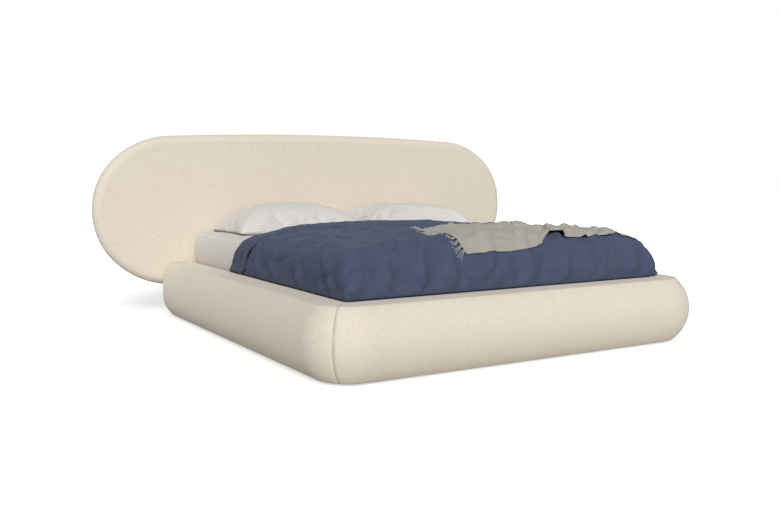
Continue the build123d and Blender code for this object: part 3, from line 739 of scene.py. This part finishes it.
def makeMattress():
    cuts = cutsFor(mattressLow, mattressHigh, bedding["mattressStep"])
    bm = gridBox(mattressLow, mattressHigh, cuts)
    waves = 2 * math.pi / bedding["quiltPitch"]
    for vert in bm.verts:
        vert.co = softenPoint(vert.co, mattressLow, mattressHigh, bedding["planRadius"],
                              bedding["edgeRadius"])
        if vert.co.z < mattressLow.z + bedding["underside"]:     # hollowed between its stitches
            wave = math.sin(vert.co.x * waves) * math.sin(vert.co.y * waves)
            vert.co.z += bedding["quiltDepth"] * wave * wave
    piece = finishPiece(bm, "mattressBody", "mattress_ticking", "mattress")
    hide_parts("mattress")


def mapCloth(bm):
    # A cloth map in metres that runs over the top and down each side
    layer = bm.loops.layers.uv.new("cloth")
    for face in bm.faces:
        normal = face.normal
        for loop in face.loops:
            co = loop.vert.co
            if abs(normal.z) > 0.6:
                loop[layer].uv = (co.y, co.x)
            elif abs(normal.x) > abs(normal.y):
                loop[layer].uv = (co.y, co.z)
            else:
                loop[layer].uv = (co.x, co.z)


def makeSheet():
    low = mattressLow - Vector((bedding["sheet"], bedding["sheet"], 0))
    high = mattressHigh + Vector((bedding["sheet"],) * 3)
    bm = gridBox(low, high, cutsFor(low, high, bedding["step"]), [(0, 0, -1)])
    for vert in bm.verts:
        vert.co = softenPoint(vert.co, low, high, bedding["planRadius"] + bedding["sheet"],
                              bedding["edgeRadius"] + bedding["sheet"])
    bm.normal_update()
    mapCloth(bm)
    moves = []
    for vert in bm.verts:
        share = clamp((vert.co.z - railTop) / (high.z - railTop), 0.0, 1.0)
        side = bedding["bulge"] * (4 * share * (1 - share) * (1 - abs(vert.normal.z)) ** 2)
        side *= 1.0 if abs(vert.normal.x) > abs(vert.normal.y) else bedding["endBulge"]
        side *= smoothStep(vert.co.y, bedding["bareFrom"], bedding["bareTo"])     # no duvet there
        wrinkle = clothSwell(vert.co, bedding["wrinkleScale"], bedding["wrinkle"])
        moves.append(vert.normal * (side + wrinkle))
    moveVerts(bm, moves)
    piece = finishPiece(bm, "fittedSheet", "striped_cotton", "mattress")
    addModifier(piece, "SOLIDIFY", thickness=bedding["hem"], offset=-1.0)
    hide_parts("fitted_sheet")


makeMattress()
makeSheet()
print("mattress and sheet made")


# Cloth run shared by the stuffed pieces

clothSettings = {"quality": 6, "mass": 0.3, "tension_stiffness": 20, "compression_stiffness": 20,
                 "shear_stiffness": 10, "air_damping": 2.0, "use_pressure": True,
                 "vertex_group_mass": "held"}


def puffCloth(piece, pinned, sizes):
    # The skin grows a little and the filling presses on it, so it buckles into soft creases
    scene = bpy.context.scene
    group = piece.vertex_groups.new(name="held")   # the filling holds the rest of the skin loosely
    group.add(list(range(len(piece.data.vertices))), sizes["hold"], "REPLACE")
    group.add(pinned, 1.0, "REPLACE")
    cloth = addModifier(piece, "CLOTH")
    for name, value in clothSettings.items():
        setattr(cloth.settings, name, value)
    cloth.settings.shrink_min = -sizes["growth"]
    cloth.settings.bending_stiffness = sizes["stiffness"]
    cloth.settings.uniform_pressure_force = sizes["pressure"]
    cloth.settings.effector_weights.gravity = 0
    cloth.point_cache.frame_start = 1
    cloth.point_cache.frame_end = sizes["frames"]
    for frameNumber in range(1, sizes["frames"] + 1):
        scene.frame_set(frameNumber)
    moved = piece.evaluated_get(bpy.context.evaluated_depsgraph_get())
    places = [vert.co.copy() for vert in moved.data.vertices]
    piece.modifiers.remove(cloth)
    for vert, place in zip(piece.data.vertices, places):
        move = place - vert.co
        vert.co += move * min(1.0, sizes["cap"] / max(move.length, 1e-9))
    piece.vertex_groups.clear()
    scene.frame_set(1)


# Duvet: an outer skin with its folds and an inner skin on the mattress, joined at the hem

duvet = {**inMm(half=915, footGap=5, hem=302, left=926, right=962, near=8, leftRadius=110,
                rightRadius=200, footRadius=220, edge=558, crown=598, sideTop=500, nominalHead=520,
                step=13, gap=4, innerEdge=5, innerRound=4, band=130, bandSlant=65, bandDrop=4,
                bandFade=50, deepest=17, swell=5, heldEdge=10, clearRise=10, looseRise=30,
                filling=12, cap=16),
         "headRise": 0.01, "tucked": 5, "freeLevel": 9, "cornerSide": 0.62, "cornerReach": 0.3,
         "cornerPasses": 14, "slantFrom": 0.48, "slantTo": 0.70, "bandShare": 0.25,
         "swellScale": 3.3, "fineScale": 7.0, "fineShare": 0.5, "ridgePower": 2.0,
         "valleyPower": 1.1, "easings": (0.25, 0.0), "beyondHead": 9.0,
         "growth": 0.024, "pressure": 2.0, "stiffness": 6.0, "hold": 0.3, "frames": 18}
duvetFoot = footLine + duvet["footGap"]

# The crease along its flat band: offsets are from the band's edge, across it
crease = {**inMm(strip=52, reach=60, valley=3, depth=34, width=9, gap=6.5, lipReach=15, lipRise=11,
                 lipStart=-45, lipFull=-12, lipOver=-5, lipEnd=-1, railFade=25),
          "least": 0.01, "stripLeast": 0.02, "cuts": 2}

# The drops from the hem up: height, and share of the swell over the rail
duvetLevels = [(302, 0), (330, 0), (340.5, 0.08), (342, 0.5), (346, 0.85), (356, 1.0)]
duvetLevels += [(356 + 12 * k, 1.0) for k in range(1, 13)]

# Head edge: how far along Y it lies, by the length of cloth across the bed from the middle
headEdge = [(-1.13, 0.45), (-1.096, 0.42), (-1.064, 0.38), (-1.036, 0.37), (-0.982, 0.33),
            (-0.93, 0.27), (-0.87, 0.235), (-0.803, 0.24), (-0.658, 0.35), (-0.579, 0.44),
            (-0.46, 0.49), (-0.20, 0.515), (0.30, 0.525), (0.60, 0.52), (0.85, 0.44), (1.13, 0.46)]

# Folds of the photo: points on the surface in cm, then width and height in mm, below 0 for a valley
duvetFolds = [
    ([(-90, -97, 36), (-86, -90, 50), (-66, -66, 58), (-40, -36, 60)], 46, 26),
    ([(-93, -84, 36), (-92, -78, 50), (-78, -58, 57), (-60, -30, 59)], 34, 19),
    ([(-74, -98, 35), (-70, -94, 50), (-56, -76, 59), (-34, -60, 60)], 34, 29),
    ([(-55, -98, 35), (-52, -94, 51), (-44, -80, 59)], 30, 26),
    ([(-36, -98, 35), (-36, -94, 52), (-33, -84, 59)], 26, 23),
    ([(-12, -98, 35), (-14, -94, 52), (-12, -86, 59)], 34, 24),
    ([(10, -98, 35), (8, -94, 52), (10, -86, 59)], 24, 18),
    ([(33, -98, 35), (32, -94, 52), (34, -86, 59)], 34, 24),
    ([(56, -98, 35), (58, -94, 51), (56, -86, 58)], 26, 19),
    ([(78, -98, 35), (76, -94, 48), (70, -86, 56)], 34, 24),
    ([(-93, -50, 36), (-92, -48, 50), (-74, -36, 58), (-50, -16, 59)], 38, 18),
    ([(-93, -20, 36), (-91, -20, 52), (-68, -14, 58)], 36, 14),
    ([(-93, 0, 36), (-89, 2, 53), (-62, 14, 59)], 30, 14),
    ([(-60, 22, 59), (-20, 6, 60), (20, 10, 60)], 60, 13),
    ([(-36, -14, 60), (10, -24, 60), (50, -12, 59)], 55, 13),
    ([(96, -30, 36), (93, -28, 48), (72, -20, 56)], 36, 14),
    ([(96, 10, 36), (93, 12, 48), (72, 18, 56)], 36, 14),
    ([(-49, -94, 50), (-48, -97, 44), (-47, -98, 38)], 20, -29),
    ([(-69, -95, 48), (-63, -97, 45), (-57, -98, 38)], 20, -31),
    ([(-11, -96, 47), (-15, -98, 41), (-18, -98, 35)], 18, -25),
    ([(18, -94, 50), (17, -97, 43), (17, -98, 35)], 20, -29),
    ([(53, -94, 51), (54, -97, 45), (56, -98, 38)], 20, -29),
    ([(83, -93, 52), (85, -97, 45), (86, -98, 39)], 18, -25),
    ([(-79, -94, 50), (-76, -97, 42), (-72, -98, 35)], 18, -25),
    ([(-93, -75, 40), (-93, -84, 45), (-91, -92, 50)], 16, -25),
    ([(-93, -24, 44), (-91, -39, 50), (-87, -50, 54), (-63, -52, 57)], 20, -18),
    ([(-93, -46, 40), (-92, -52, 47), (-88, -65, 54)], 18, -18),
    ([(-34, -95, 48), (-32, -98, 42), (-33, -98, 36)], 18, -21),
    ([(0, -96, 46), (2, -98, 42), (1, -98, 35)], 16, -18),
    ([(36, -95, 49), (36, -97, 44), (34, -98, 37)], 16, -18),
    ([(-93, -93, 36), (-92, -97, 43), (-83, -95, 49), (-64, -91, 54)], 20, -25),
    ([(-46, 3, 59), (-37, 10, 59), (-28, 18, 59)], 16, -70),
]


def foldField(points, folds, deepest):
    # Height of all folds at each point: a ridge is a soft bell, a valley is a sharp crease
    field = np.zeros(len(points))
    for path, width, height in folds:
        path = np.array(path) / 100
        best = np.full(len(points), np.inf)
        for a, b in zip(path[:-1], path[1:]):
            run = b - a
            t = np.clip(((points - a) @ run) / (run @ run), 0, 1)
            gap = np.linalg.norm(points - (a + t[:, None] * run), axis=1)
            best = np.minimum(best, gap)
        power = duvet["ridgePower"] if height > 0 else duvet["valleyPower"]
        field += height * mm * np.exp(-(best / (width * mm)) ** power)
    return np.maximum(field, -deepest)


def rounded(limit, radius, over):
    # How far out a round lies, at a distance past where it starts
    return limit - radius + math.sqrt(max(radius ** 2 - over ** 2, 0.0))


def sideOf(x):
    return (duvet["right"], duvet["rightRadius"]) if x > 0 else (duvet["left"], duvet["leftRadius"])


def acrossHeight(x):
    # Section across the bed: a slow arch between two rounded shoulders
    side, radius = sideOf(x)
    over = abs(x) - (side - radius)
    if over > 0:
        return rounded(duvet["edge"], radius, over)
    return duvet["crown"] - (duvet["crown"] - duvet["edge"]) * (x / (side - radius)) ** 2


def alongHeight(y):
    # Section along the bed: level, then a long round down to the foot
    radius = duvet["footRadius"]
    over = footLine - duvet["near"] + radius - y
    if over > 0:
        return rounded(duvet["crown"], radius, over)
    return duvet["crown"] + over * over * duvet["headRise"]


def reachAt(side, radius, top, z):
    # How far out a rounded shoulder lies at a height
    return rounded(side, radius, max(z - (top - radius), 0.0))


def evenly(height, start, end, count, fineCount=800):
    # Places between start and end with the same length of cloth from each to the next
    fine = np.linspace(start, end, fineCount)
    rises = np.diff([height(value) for value in fine])
    runs = np.concatenate(([0], np.cumsum(np.hypot(np.diff(fine), rises))))
    return np.interp(np.linspace(0, runs[-1], count), runs, fine), runs[-1]


def levelEdges(index):
    # Height, left, right and foot lines of the duvet at one level of its drops
    z, share = duvetLevels[index][0] * mm, duvetLevels[index][1]
    tuck = duvet["half"]
    left, right = (
        tuck + share * (reachAt(duvet[side], duvet[side + "Radius"], duvet["edge"], z) - tuck)
        for side in ("left", "right"))
    out = reachAt(duvet["near"] - footLine, duvet["footRadius"], duvet["crown"], z)
    return z, -left, right, duvetFoot + share * (-out - duvetFoot)


def headEdgeAt(run):
    return float(np.interp(run, *zip(*headEdge)))


def duvetGrid():
    # A box grid moved on to the duvet's outside; keeps each vertex's distance from the head edge
    top = len(duvetLevels) - 1
    _, left, right, near = levelEdges(top)
    widthCount = round((right - left) / duvet["step"])
    lengthCount = round((duvet["nominalHead"] - near) / duvet["step"])
    xs, width = evenly(acrossHeight, left, right, widthCount + 1)
    ys, _ = evenly(alongHeight, near, duvet["nominalHead"], lengthCount + 1)
    cuts = (widthCount - 1, lengthCount - 1, top - 1)
    bm = gridBox(Vector((0, 0, 0)), Vector((widthCount, lengthCount, top)), cuts,
                 [(0, 0, -1), (0, 1, 0)])
    middle = np.interp(0, xs, np.linspace(0, width, widthCount + 1))
    toEdge, level, runs = {}, {}, {}
    for vert in bm.verts:
        i, j, k = (round(value) for value in vert.co)
        run = i / widthCount * width - middle
        z, lineLeft, lineRight, lineNear = levelEdges(k)
        if k < top:
            share = (xs[i] - left) / (right - left)
            x = lineLeft + share * (lineRight - lineLeft)
            y = lineNear + (ys[j] - near) / (ys[-1] - near) * (ys[-1] - lineNear)
            run += math.copysign(duvet["sideTop"] - z, run)
        else:
            x, y = xs[i], ys[j]
            z = min(acrossHeight(x), alongHeight(y))
        edgeY = headEdgeAt(run)
        y += (edgeY - duvet["nominalHead"]) * (j / lengthCount) ** 2
        vert.co = (x, y, z)
        toEdge[vert] = edgeY - y
        level[vert] = k
        runs[vert] = run
    return bm, toEdge, level, runs


def relaxCorners(bm, level):
    # Softens the ridges that run down to the two foot corners
    near = [v for v in bm.verts if level[v] > duvet["tucked"] and not v.is_boundary
            and v.co.y < footLine + duvet["cornerReach"] and abs(v.co.x) > duvet["cornerSide"]]
    for _ in range(duvet["cornerPasses"]):
        smoothVerts(bm, near)


def clearOfSheet(place, gap):
    # Pushes a point out of the sheeted mattress, past the given gap
    rounding = bedding["edgeRadius"]
    low = mattressLow + Vector((rounding, rounding, 0))
    high = mattressHigh - Vector((rounding, rounding, rounding))
    core = Vector([clamp(place[axis], low[axis], high[axis]) for axis in range(3)])
    out = place - core
    reach = rounding + bedding["sheet"] + gap
    if out.length < 1e-6:
        return Vector((place.x, place.y, core.z + reach))
    return core + out * max(1.0, reach / out.length)


def creaseBand(bm, bands):
    # A finer strip of skin along the band: a lip laps over a deep crease, the photo's dark line
    offset = bm.verts.layers.float.new("offset")
    share = bm.verts.layers.float.new("share")
    for vert, (offBand, slant) in zip(bm.verts, bands):
        vert[offset] = offBand
        vert[share] = slant
    strip = [e for e in bm.edges if all(abs(v[offset]) < crease["strip"]
                                        and v[share] > crease["stripLeast"] for v in e.verts)]
    bmesh.ops.subdivide_edges(bm, edges=strip, cuts=crease["cuts"], use_grid_fill=True)
    bm.normal_update()
    plain = bm.verts.layers.float_vector.new("plain")   # the inner skin keeps to these places
    for vert in bm.verts:
        vert[plain] = vert.co
        off = vert[offset]
        along = vert[share] * smoothStep(vert.co.z, railTop, railTop + crease["railFade"])
        if abs(off) > crease["reach"] or along < crease["least"]:
            continue
        lip = smoothStep(off, crease["lipStart"], crease["lipFull"])
        lip *= 1 - smoothStep(off, crease["lipOver"], crease["lipEnd"])
        depth = crease["depth"] * math.exp(-((off - crease["valley"]) / crease["width"]) ** 2)
        flat = Vector((0, -1, 0)) + vert.normal * vert.normal.y
        move = vert.normal * (crease["lipRise"] * lip - depth * (1 - lip))
        move += flat * (crease["lipReach"] * lip)
        vert.co = clearOfSheet(vert.co + move * along, crease["gap"])


def duvetSkin():
    # The outer skin: folds, the flat band at the head with its crease, then the cloth run
    bm, toEdge, level, runs = duvetGrid()
    relaxCorners(bm, level)
    bm.normal_update()
    heights = foldField(np.array([v.co for v in bm.verts]), duvetFolds, duvet["deepest"])
    moves, pinned, bands = [], [], []
    for index, (vert, height) in enumerate(zip(bm.verts, heights)):
        free = smoothStep(level[vert], duvet["tucked"], duvet["freeLevel"])
        swell = noise.noise(vert.co * duvet["swellScale"])
        swell += duvet["fineShare"] * noise.noise(vert.co * duvet["fineScale"])
        slant = smoothStep(-runs[vert], duvet["slantFrom"], duvet["slantTo"])   # on the left only
        offBand = toEdge[vert] - duvet["band"] - duvet["bandSlant"] * slant
        body = smoothStep(offBand, 0, duvet["bandFade"])
        bands.append((offBand, slant))
        move = height + duvet["swell"] * swell
        move *= duvet["bandShare"] + (1 - duvet["bandShare"]) * body
        moves.append(vert.normal * (move - duvet["bandDrop"] * (1 - body)) * free)
        if level[vert] <= duvet["tucked"] or toEdge[vert] < duvet["heldEdge"]:
            pinned.append(index)
    moveVerts(bm, moves)
    skin = finishPiece(bm, "duvetSkin", "duvet_cotton", "duvet")
    puffCloth(skin, pinned, duvet)
    bm = bmesh.new()
    bm.from_mesh(skin.data)
    bpy.data.meshes.remove(skin.data)
    held = set(pinned)
    looseLow = railTop + duvet["looseRise"]
    loose = [v for i, v in enumerate(bm.verts) if i not in held and v.co.z > looseLow]
    for softness in duvet["easings"]:
        smoothVerts(bm, loose, softness)
        for vert in bm.verts:
            if vert.co.z > railTop + duvet["clearRise"]:
                vert.co = clearOfSheet(vert.co, duvet["filling"])
    creaseBand(bm, bands)
    return bm


def makeDuvet():
    bm = duvetSkin()
    plain = bm.verts.layers.float_vector["plain"]
    tree = BVHTree.FromBMesh(bm)
    outerVerts = list(bm.verts)
    copied = bmesh.ops.duplicate(bm, geom=everythingIn(bm))
    innerFaces = [g for g in copied["geom"] if isinstance(g, bmesh.types.BMFace)]
    bmesh.ops.reverse_faces(bm, faces=innerFaces)
    half = mattressHigh.x + bedding["sheet"] + duvet["gap"]
    near = mattressLow.y - bedding["sheet"] - duvet["gap"]
    top = mattressHigh.z + bedding["sheet"] + duvet["gap"]
    innerLow = Vector((-half, near, duvet["hem"]))
    innerHigh = Vector((half, duvet["beyondHead"], top))     # so its head end has no round corners
    for outer in outerVerts:
        place = outer[plain]
        flat = Vector((clamp(place.x, -half, half), max(place.y, near), min(place.z, top)))
        if abs(place.x) < half - duvet["innerEdge"] and place.y > near + duvet["innerEdge"]:
            flat.z = top
        copied["vert_map"][outer].co = softenPoint(
            flat, innerLow, innerHigh, bedding["planRadius"] + duvet["innerRound"],
            bedding["edgeRadius"] + duvet["innerRound"])
    rims = [e for e in bm.edges if e.is_boundary]
    bmesh.ops.bridge_loops(bm, edges=rims)
    evenNormals(bm)
    piece = finishPiece(bm, "duvetBody", "duvet_cotton", "duvet")
    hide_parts("duvet")
    return tree


duvetTree = makeDuvet()
print("duvet made")


# Throw: a sheet that lies on the duvet and hangs down its right side

throw = {**inMm(left=-278, near=-938, depth=375, slant=290, notchPlace=280, notchWidth=60,
                notchDepth=34, drawnBack=48, low=346, lift=5, thickness=5, step=9, wrinkle=5,
                waver=6),
         "drawnFrom": 0.05, "drawnTo": 0.4, "waverAcross": 9, "waverBack": 2, "wrinkleScale": 9.0,
         "wrinkleMore": 0.2}

# Its own wrinkles: points over the bed in cm, width and height in mm
throwFolds = [
    ([(-20, -76), (2, -70), (30, -74)], 24, 19),
    ([(0, -60), (24, -64), (46, -60)], 22, 16),
    ([(28, -86), (46, -76), (76, -74)], 22, 21),
    ([(6, -90), (14, -82), (10, -72)], 18, 11),
    ([(50, -92), (52, -80), (44, -68)], 20, 19),
    ([(66, -92), (72, -78), (70, -60)], 20, 13),
    ([(-10, -52), (20, -46), (44, -40)], 26, 10),
    ([(62, -50), (84, -44), (95, -42)], 22, 8),
    ([(30, -91), (31, -84), (22, -74), (6, -66)], 15, 26),
    ([(30, -90), (40, -83), (56, -80)], 14, 20),
    ([(-22, -88), (-2, -84), (20, -87)], 16, 12),
]


def onDuvet(place, lift):
    # The nearest place on the duvet, raised along its normal
    spot, normal, _, _ = duvetTree.find_nearest(place)
    return spot + normal * lift


def makeThrow():
    top = len(duvetLevels) - 1
    right = levelEdges(top)[2]
    acrossCount = round((right - throw["left"]) / throw["step"])
    backCount = round((throw["depth"] + throw["slant"] / 2) / throw["step"])
    xs, across = evenly(acrossHeight, throw["left"], right, acrossCount + 1)
    lowest = duvet["tucked"]
    bm = gridBox(Vector((0, 0, lowest)), Vector((acrossCount, backCount, top)),
                 (acrossCount - 1, backCount - 1, top - lowest - 1),
                 [(0, 0, -1), (0, 1, 0), (0, -1, 0), (-1, 0, 0)])
    flats = []
    for vert in bm.verts:
        i, j, k = (round(value) for value in vert.co)
        z, _, lineRight, _ = levelEdges(k)
        x = xs[i] if k == top else lineRight
        run = clamp((x - throw["left"]) / throw["depth"], 0.0, 1.0)
        back = j / backCount
        y = throw["near"] + back * (throw["depth"] + throw["slant"] * run)
        notch = math.exp(-((x - throw["notchPlace"]) / throw["notchWidth"]) ** 2)
        y += throw["drawnBack"] * smoothStep(x, throw["drawnFrom"], throw["drawnTo"]) * (1 - back)
        waver = noise.noise(Vector((x * throw["waverAcross"], back * throw["waverBack"], 3)))
        y += throw["notchDepth"] * notch * (1 - back) ** 3 + throw["waver"] * waver
        if k == top:
            z = min(acrossHeight(x), alongHeight(y))
        flats.append((x, y, 0.0))
        vert.co = (x, y, max(z, throw["low"]))
    folds = [([(x, y, 0) for x, y in path], width, height) for path, width, height in throwFolds]
    wrinkles = foldField(np.array(flats), folds, throw["lift"])
    for vert, height, flat in zip(bm.verts, wrinkles, flats):
        more = noise.noise(Vector(flat) * throw["wrinkleScale"]) + throw["wrinkleMore"]
        vert.co = onDuvet(vert.co, throw["lift"] + height + throw["wrinkle"] * max(0.0, more))
    smoothVerts(bm, [v for v in bm.verts if not v.is_boundary])
    for vert in bm.verts:
        spot, normal, _, _ = duvetTree.find_nearest(vert.co)
        under = throw["lift"] - (vert.co - spot).dot(normal)
        if under > 0:
            vert.co += normal * under
    evenNormals(bm)
    if sum(f.normal.z for f in bm.faces) < 0:
        bmesh.ops.reverse_faces(bm, faces=bm.faces)
    # The cut: one length across the bed and down its side, narrower at the fringed end
    piece = finishPiece(bm, "throwCloth", "throw_wool", "throw")
    addModifier(piece, "SOLIDIFY", thickness=throw["thickness"], offset=1.0)
    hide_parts("throw")


makeThrow()
print("throw made")

# Fringe along the throw's left end: tassels of three strands

fringe = {**inMm(length=92, radius=2.4, spread=7, inset=4, lift=1), "count": 15, "strands": 3,
          "segments": 8, "sides": 6, "droop": 0.35, "lean": 0.25, "shortest": 0.85,
          "longest": 1.05, "flare": 1.5, "waver": 0.1}


def restHeight(x, y):
    hit = duvetTree.ray_cast(Vector((x, y, 1.0)), Vector((0, 0, -1)))[0]
    return hit.z if hit else duvet["edge"]


def makeFringe():
    random.seed(7)
    bm = bmesh.new()
    pitch = (throw["depth"] - 2 * fringe["inset"]) / (fringe["count"] - 1)
    for index in range(fringe["count"]):
        rootY = throw["near"] + fringe["inset"] + index * pitch
        lean = random.uniform(-fringe["lean"], fringe["lean"])
        lean -= fringe["droop"] * (1 - index / (fringe["count"] - 1))
        for strand in range(fringe["strands"]):
            offset = (strand - 1) * fringe["spread"] * 0.5
            ring = bmesh.ops.create_circle(bm, segments=fringe["sides"],
                                           radius=fringe["radius"])["verts"]
            bmesh.ops.rotate(bm, verts=ring, matrix=Matrix.Rotation(math.pi / 2, 3, "Y"))
            x, y = throw["left"] + fringe["inset"], rootY + offset
            place = Vector((x, y, restHeight(x, y) + throw["lift"] + fringe["radius"]))
            bmesh.ops.translate(bm, verts=ring, vec=place)
            edges = list({e for v in ring for e in v.link_edges})
            length = fringe["length"] * random.uniform(fringe["shortest"], fringe["longest"])
            for k in range(1, fringe["segments"] + 1):
                turn = lean + offset / length * fringe["flare"]
                turn += random.uniform(-fringe["waver"], fringe["waver"])
                heading = Vector((-1, turn, 0)).normalized()
                run = length / fringe["segments"]
                drop = place.z - restHeight(*(place + heading * run).xy)
                run *= run / math.hypot(run, max(drop, 0))
                goal = place + heading * run
                rise = throw["lift"] * (1 - k / fringe["segments"]) ** 2
                goal.z = restHeight(*goal.xy) + fringe["radius"] + fringe["lift"] + rise
                ring, edges = extrudeRim(bm, edges)
                bmesh.ops.translate(bm, verts=ring, vec=goal - place)
                place = goal
    holes = [e for e in bm.edges if e.is_boundary]
    bmesh.ops.holes_fill(bm, edges=holes, sides=fringe["sides"])
    evenNormals(bm)
    piece = finishPiece(bm, "throwTassels", "throw_wool", "throw")
    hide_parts("throw_fringe")


makeFringe()
print("fringe made")


# Pillows: loaves with hipped corners, widest near the sheet, puffed by the cloth run

pillow = {**inMm(pull=24, slope=250, blend=30, sag=3, crease=4, held=12, cap=16), "cutsAcross": 60,
          "cutsAlong": 36, "mapStretch": 1.25, "evenPower": 1.25, "slopePower": 1.8,
          "fullPower": 0.66, "pullPower": 3, "endShare": 0.85, "underShare": 0.10,
          "underFill": 2.5, "topShare": 0.97, "creaseScale": 6, "creaseUp": 4, "easing": 4,
          "easedShare": 0.3, "growth": 0.03, "pressure": 1.0, "stiffness": 1.0, "hold": 0.1,
          "frames": 20}


def loafRise(distance):
    # Share of the full height at a distance in from the pillow's outline
    t = clamp(distance / pillow["slope"], 0.0, 1.0)
    return (1 - (1 - t) ** pillow["slopePower"]) ** pillow["fullPower"]


def softMin(a, b, blend):
    h = clamp(0.5 + 0.5 * (b - a) / blend, 0.0, 1.0)
    return b + (a - b) * h - blend * h * (1 - h)


def spread(share):
    # Even cloth: the grid is denser where the side stands steep
    return math.copysign(1 - (1 - abs(share)) ** pillow["evenPower"], share)


def easeTop(piece, level):
    # Rounds off the ridges that the cloth run leaves round a pillow's top
    bm = bmesh.new()
    bm.from_mesh(piece.data)
    upper = [vert for vert in bm.verts if vert.co.z > level]
    for _ in range(pillow["easing"]):
        bmesh.ops.smooth_vert(bm, verts=upper, factor=0.5, use_axis_z=True)
    bm.to_mesh(piece.data)
    bm.free()


def makePillow(name, node, seed):
    low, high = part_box(node)
    centre = (low + high) / 2
    half = (high - low) / 2
    thick = high.z - low.z
    bm = bmesh.new()
    bmesh.ops.create_grid(bm, x_segments=pillow["cutsAcross"], y_segments=pillow["cutsAlong"],
                          size=1.0)
    layer = bm.loops.layers.uv.new("cloth")
    for face in bm.faces:
        for loop in face.loops:
            co = loop.vert.co
            loop[layer].uv = (co.x * half.x, co.y * half.y * pillow["mapStretch"])
    copied = bmesh.ops.duplicate(bm, geom=everythingIn(bm))["geom"]
    under = {g for g in copied if isinstance(g, bmesh.types.BMVert)}
    bmesh.ops.reverse_faces(bm, faces=[g for g in copied if isinstance(g, bmesh.types.BMFace)])
    seam = low.z + pillow["underShare"] * thick
    scale = pillow["creaseScale"]
    for vert in bm.verts:
        u, v = spread(vert.co.x), spread(vert.co.y)
        rise = loafRise(softMin(half.x * (1 - abs(u)) * pillow["endShare"], half.y * (1 - abs(v)),
                                pillow["blend"]))
        pullX = pillow["pull"] * (1 - v * v) * abs(u) ** pillow["pullPower"]
        pullY = pillow["pull"] * (1 - u * u) * abs(v) ** pillow["pullPower"]
        x = centre.x + u * half.x - math.copysign(pullX, u)
        y = centre.y + v * half.y - math.copysign(pullY, v)
        if vert in under:
            z = seam - min(1.0, pillow["underFill"] * rise) * pillow["underShare"] * thick
        else:
            z = seam + rise * (high.z - seam) * pillow["topShare"]
            spot = Vector((x * scale + seed, y * scale, z * pillow["creaseUp"]))
            z += pillow["crease"] * noise.noise(spot) * rise
        vert.co = (x, y, z)
    bmesh.ops.remove_doubles(bm, verts=bm.verts, dist=joining)
    evenNormals(bm)
    bm.verts.index_update()
    pinned = [v.index for v in bm.verts if v.co.z < low.z + pillow["held"]]
    piece = finishPiece(bm, name, "striped_cotton", node)
    rest = [vert.co.z for vert in piece.data.vertices]
    puffCloth(piece, pinned, pillow)
    for vert, z in zip(piece.data.vertices, rest):     # the filling keeps the top from caving in
        vert.co.z = max(vert.co.z, z - pillow["sag"], low.z)
    easeTop(piece, high.z - pillow["easedShare"] * thick)
    addModifier(piece, "SUBSURF", levels=1, render_levels=1)
    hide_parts(node)


makePillow("pillowLeft", "pillow_left", 0)
makePillow("pillowRight", "pillow_right", 11)
print("pillows made")
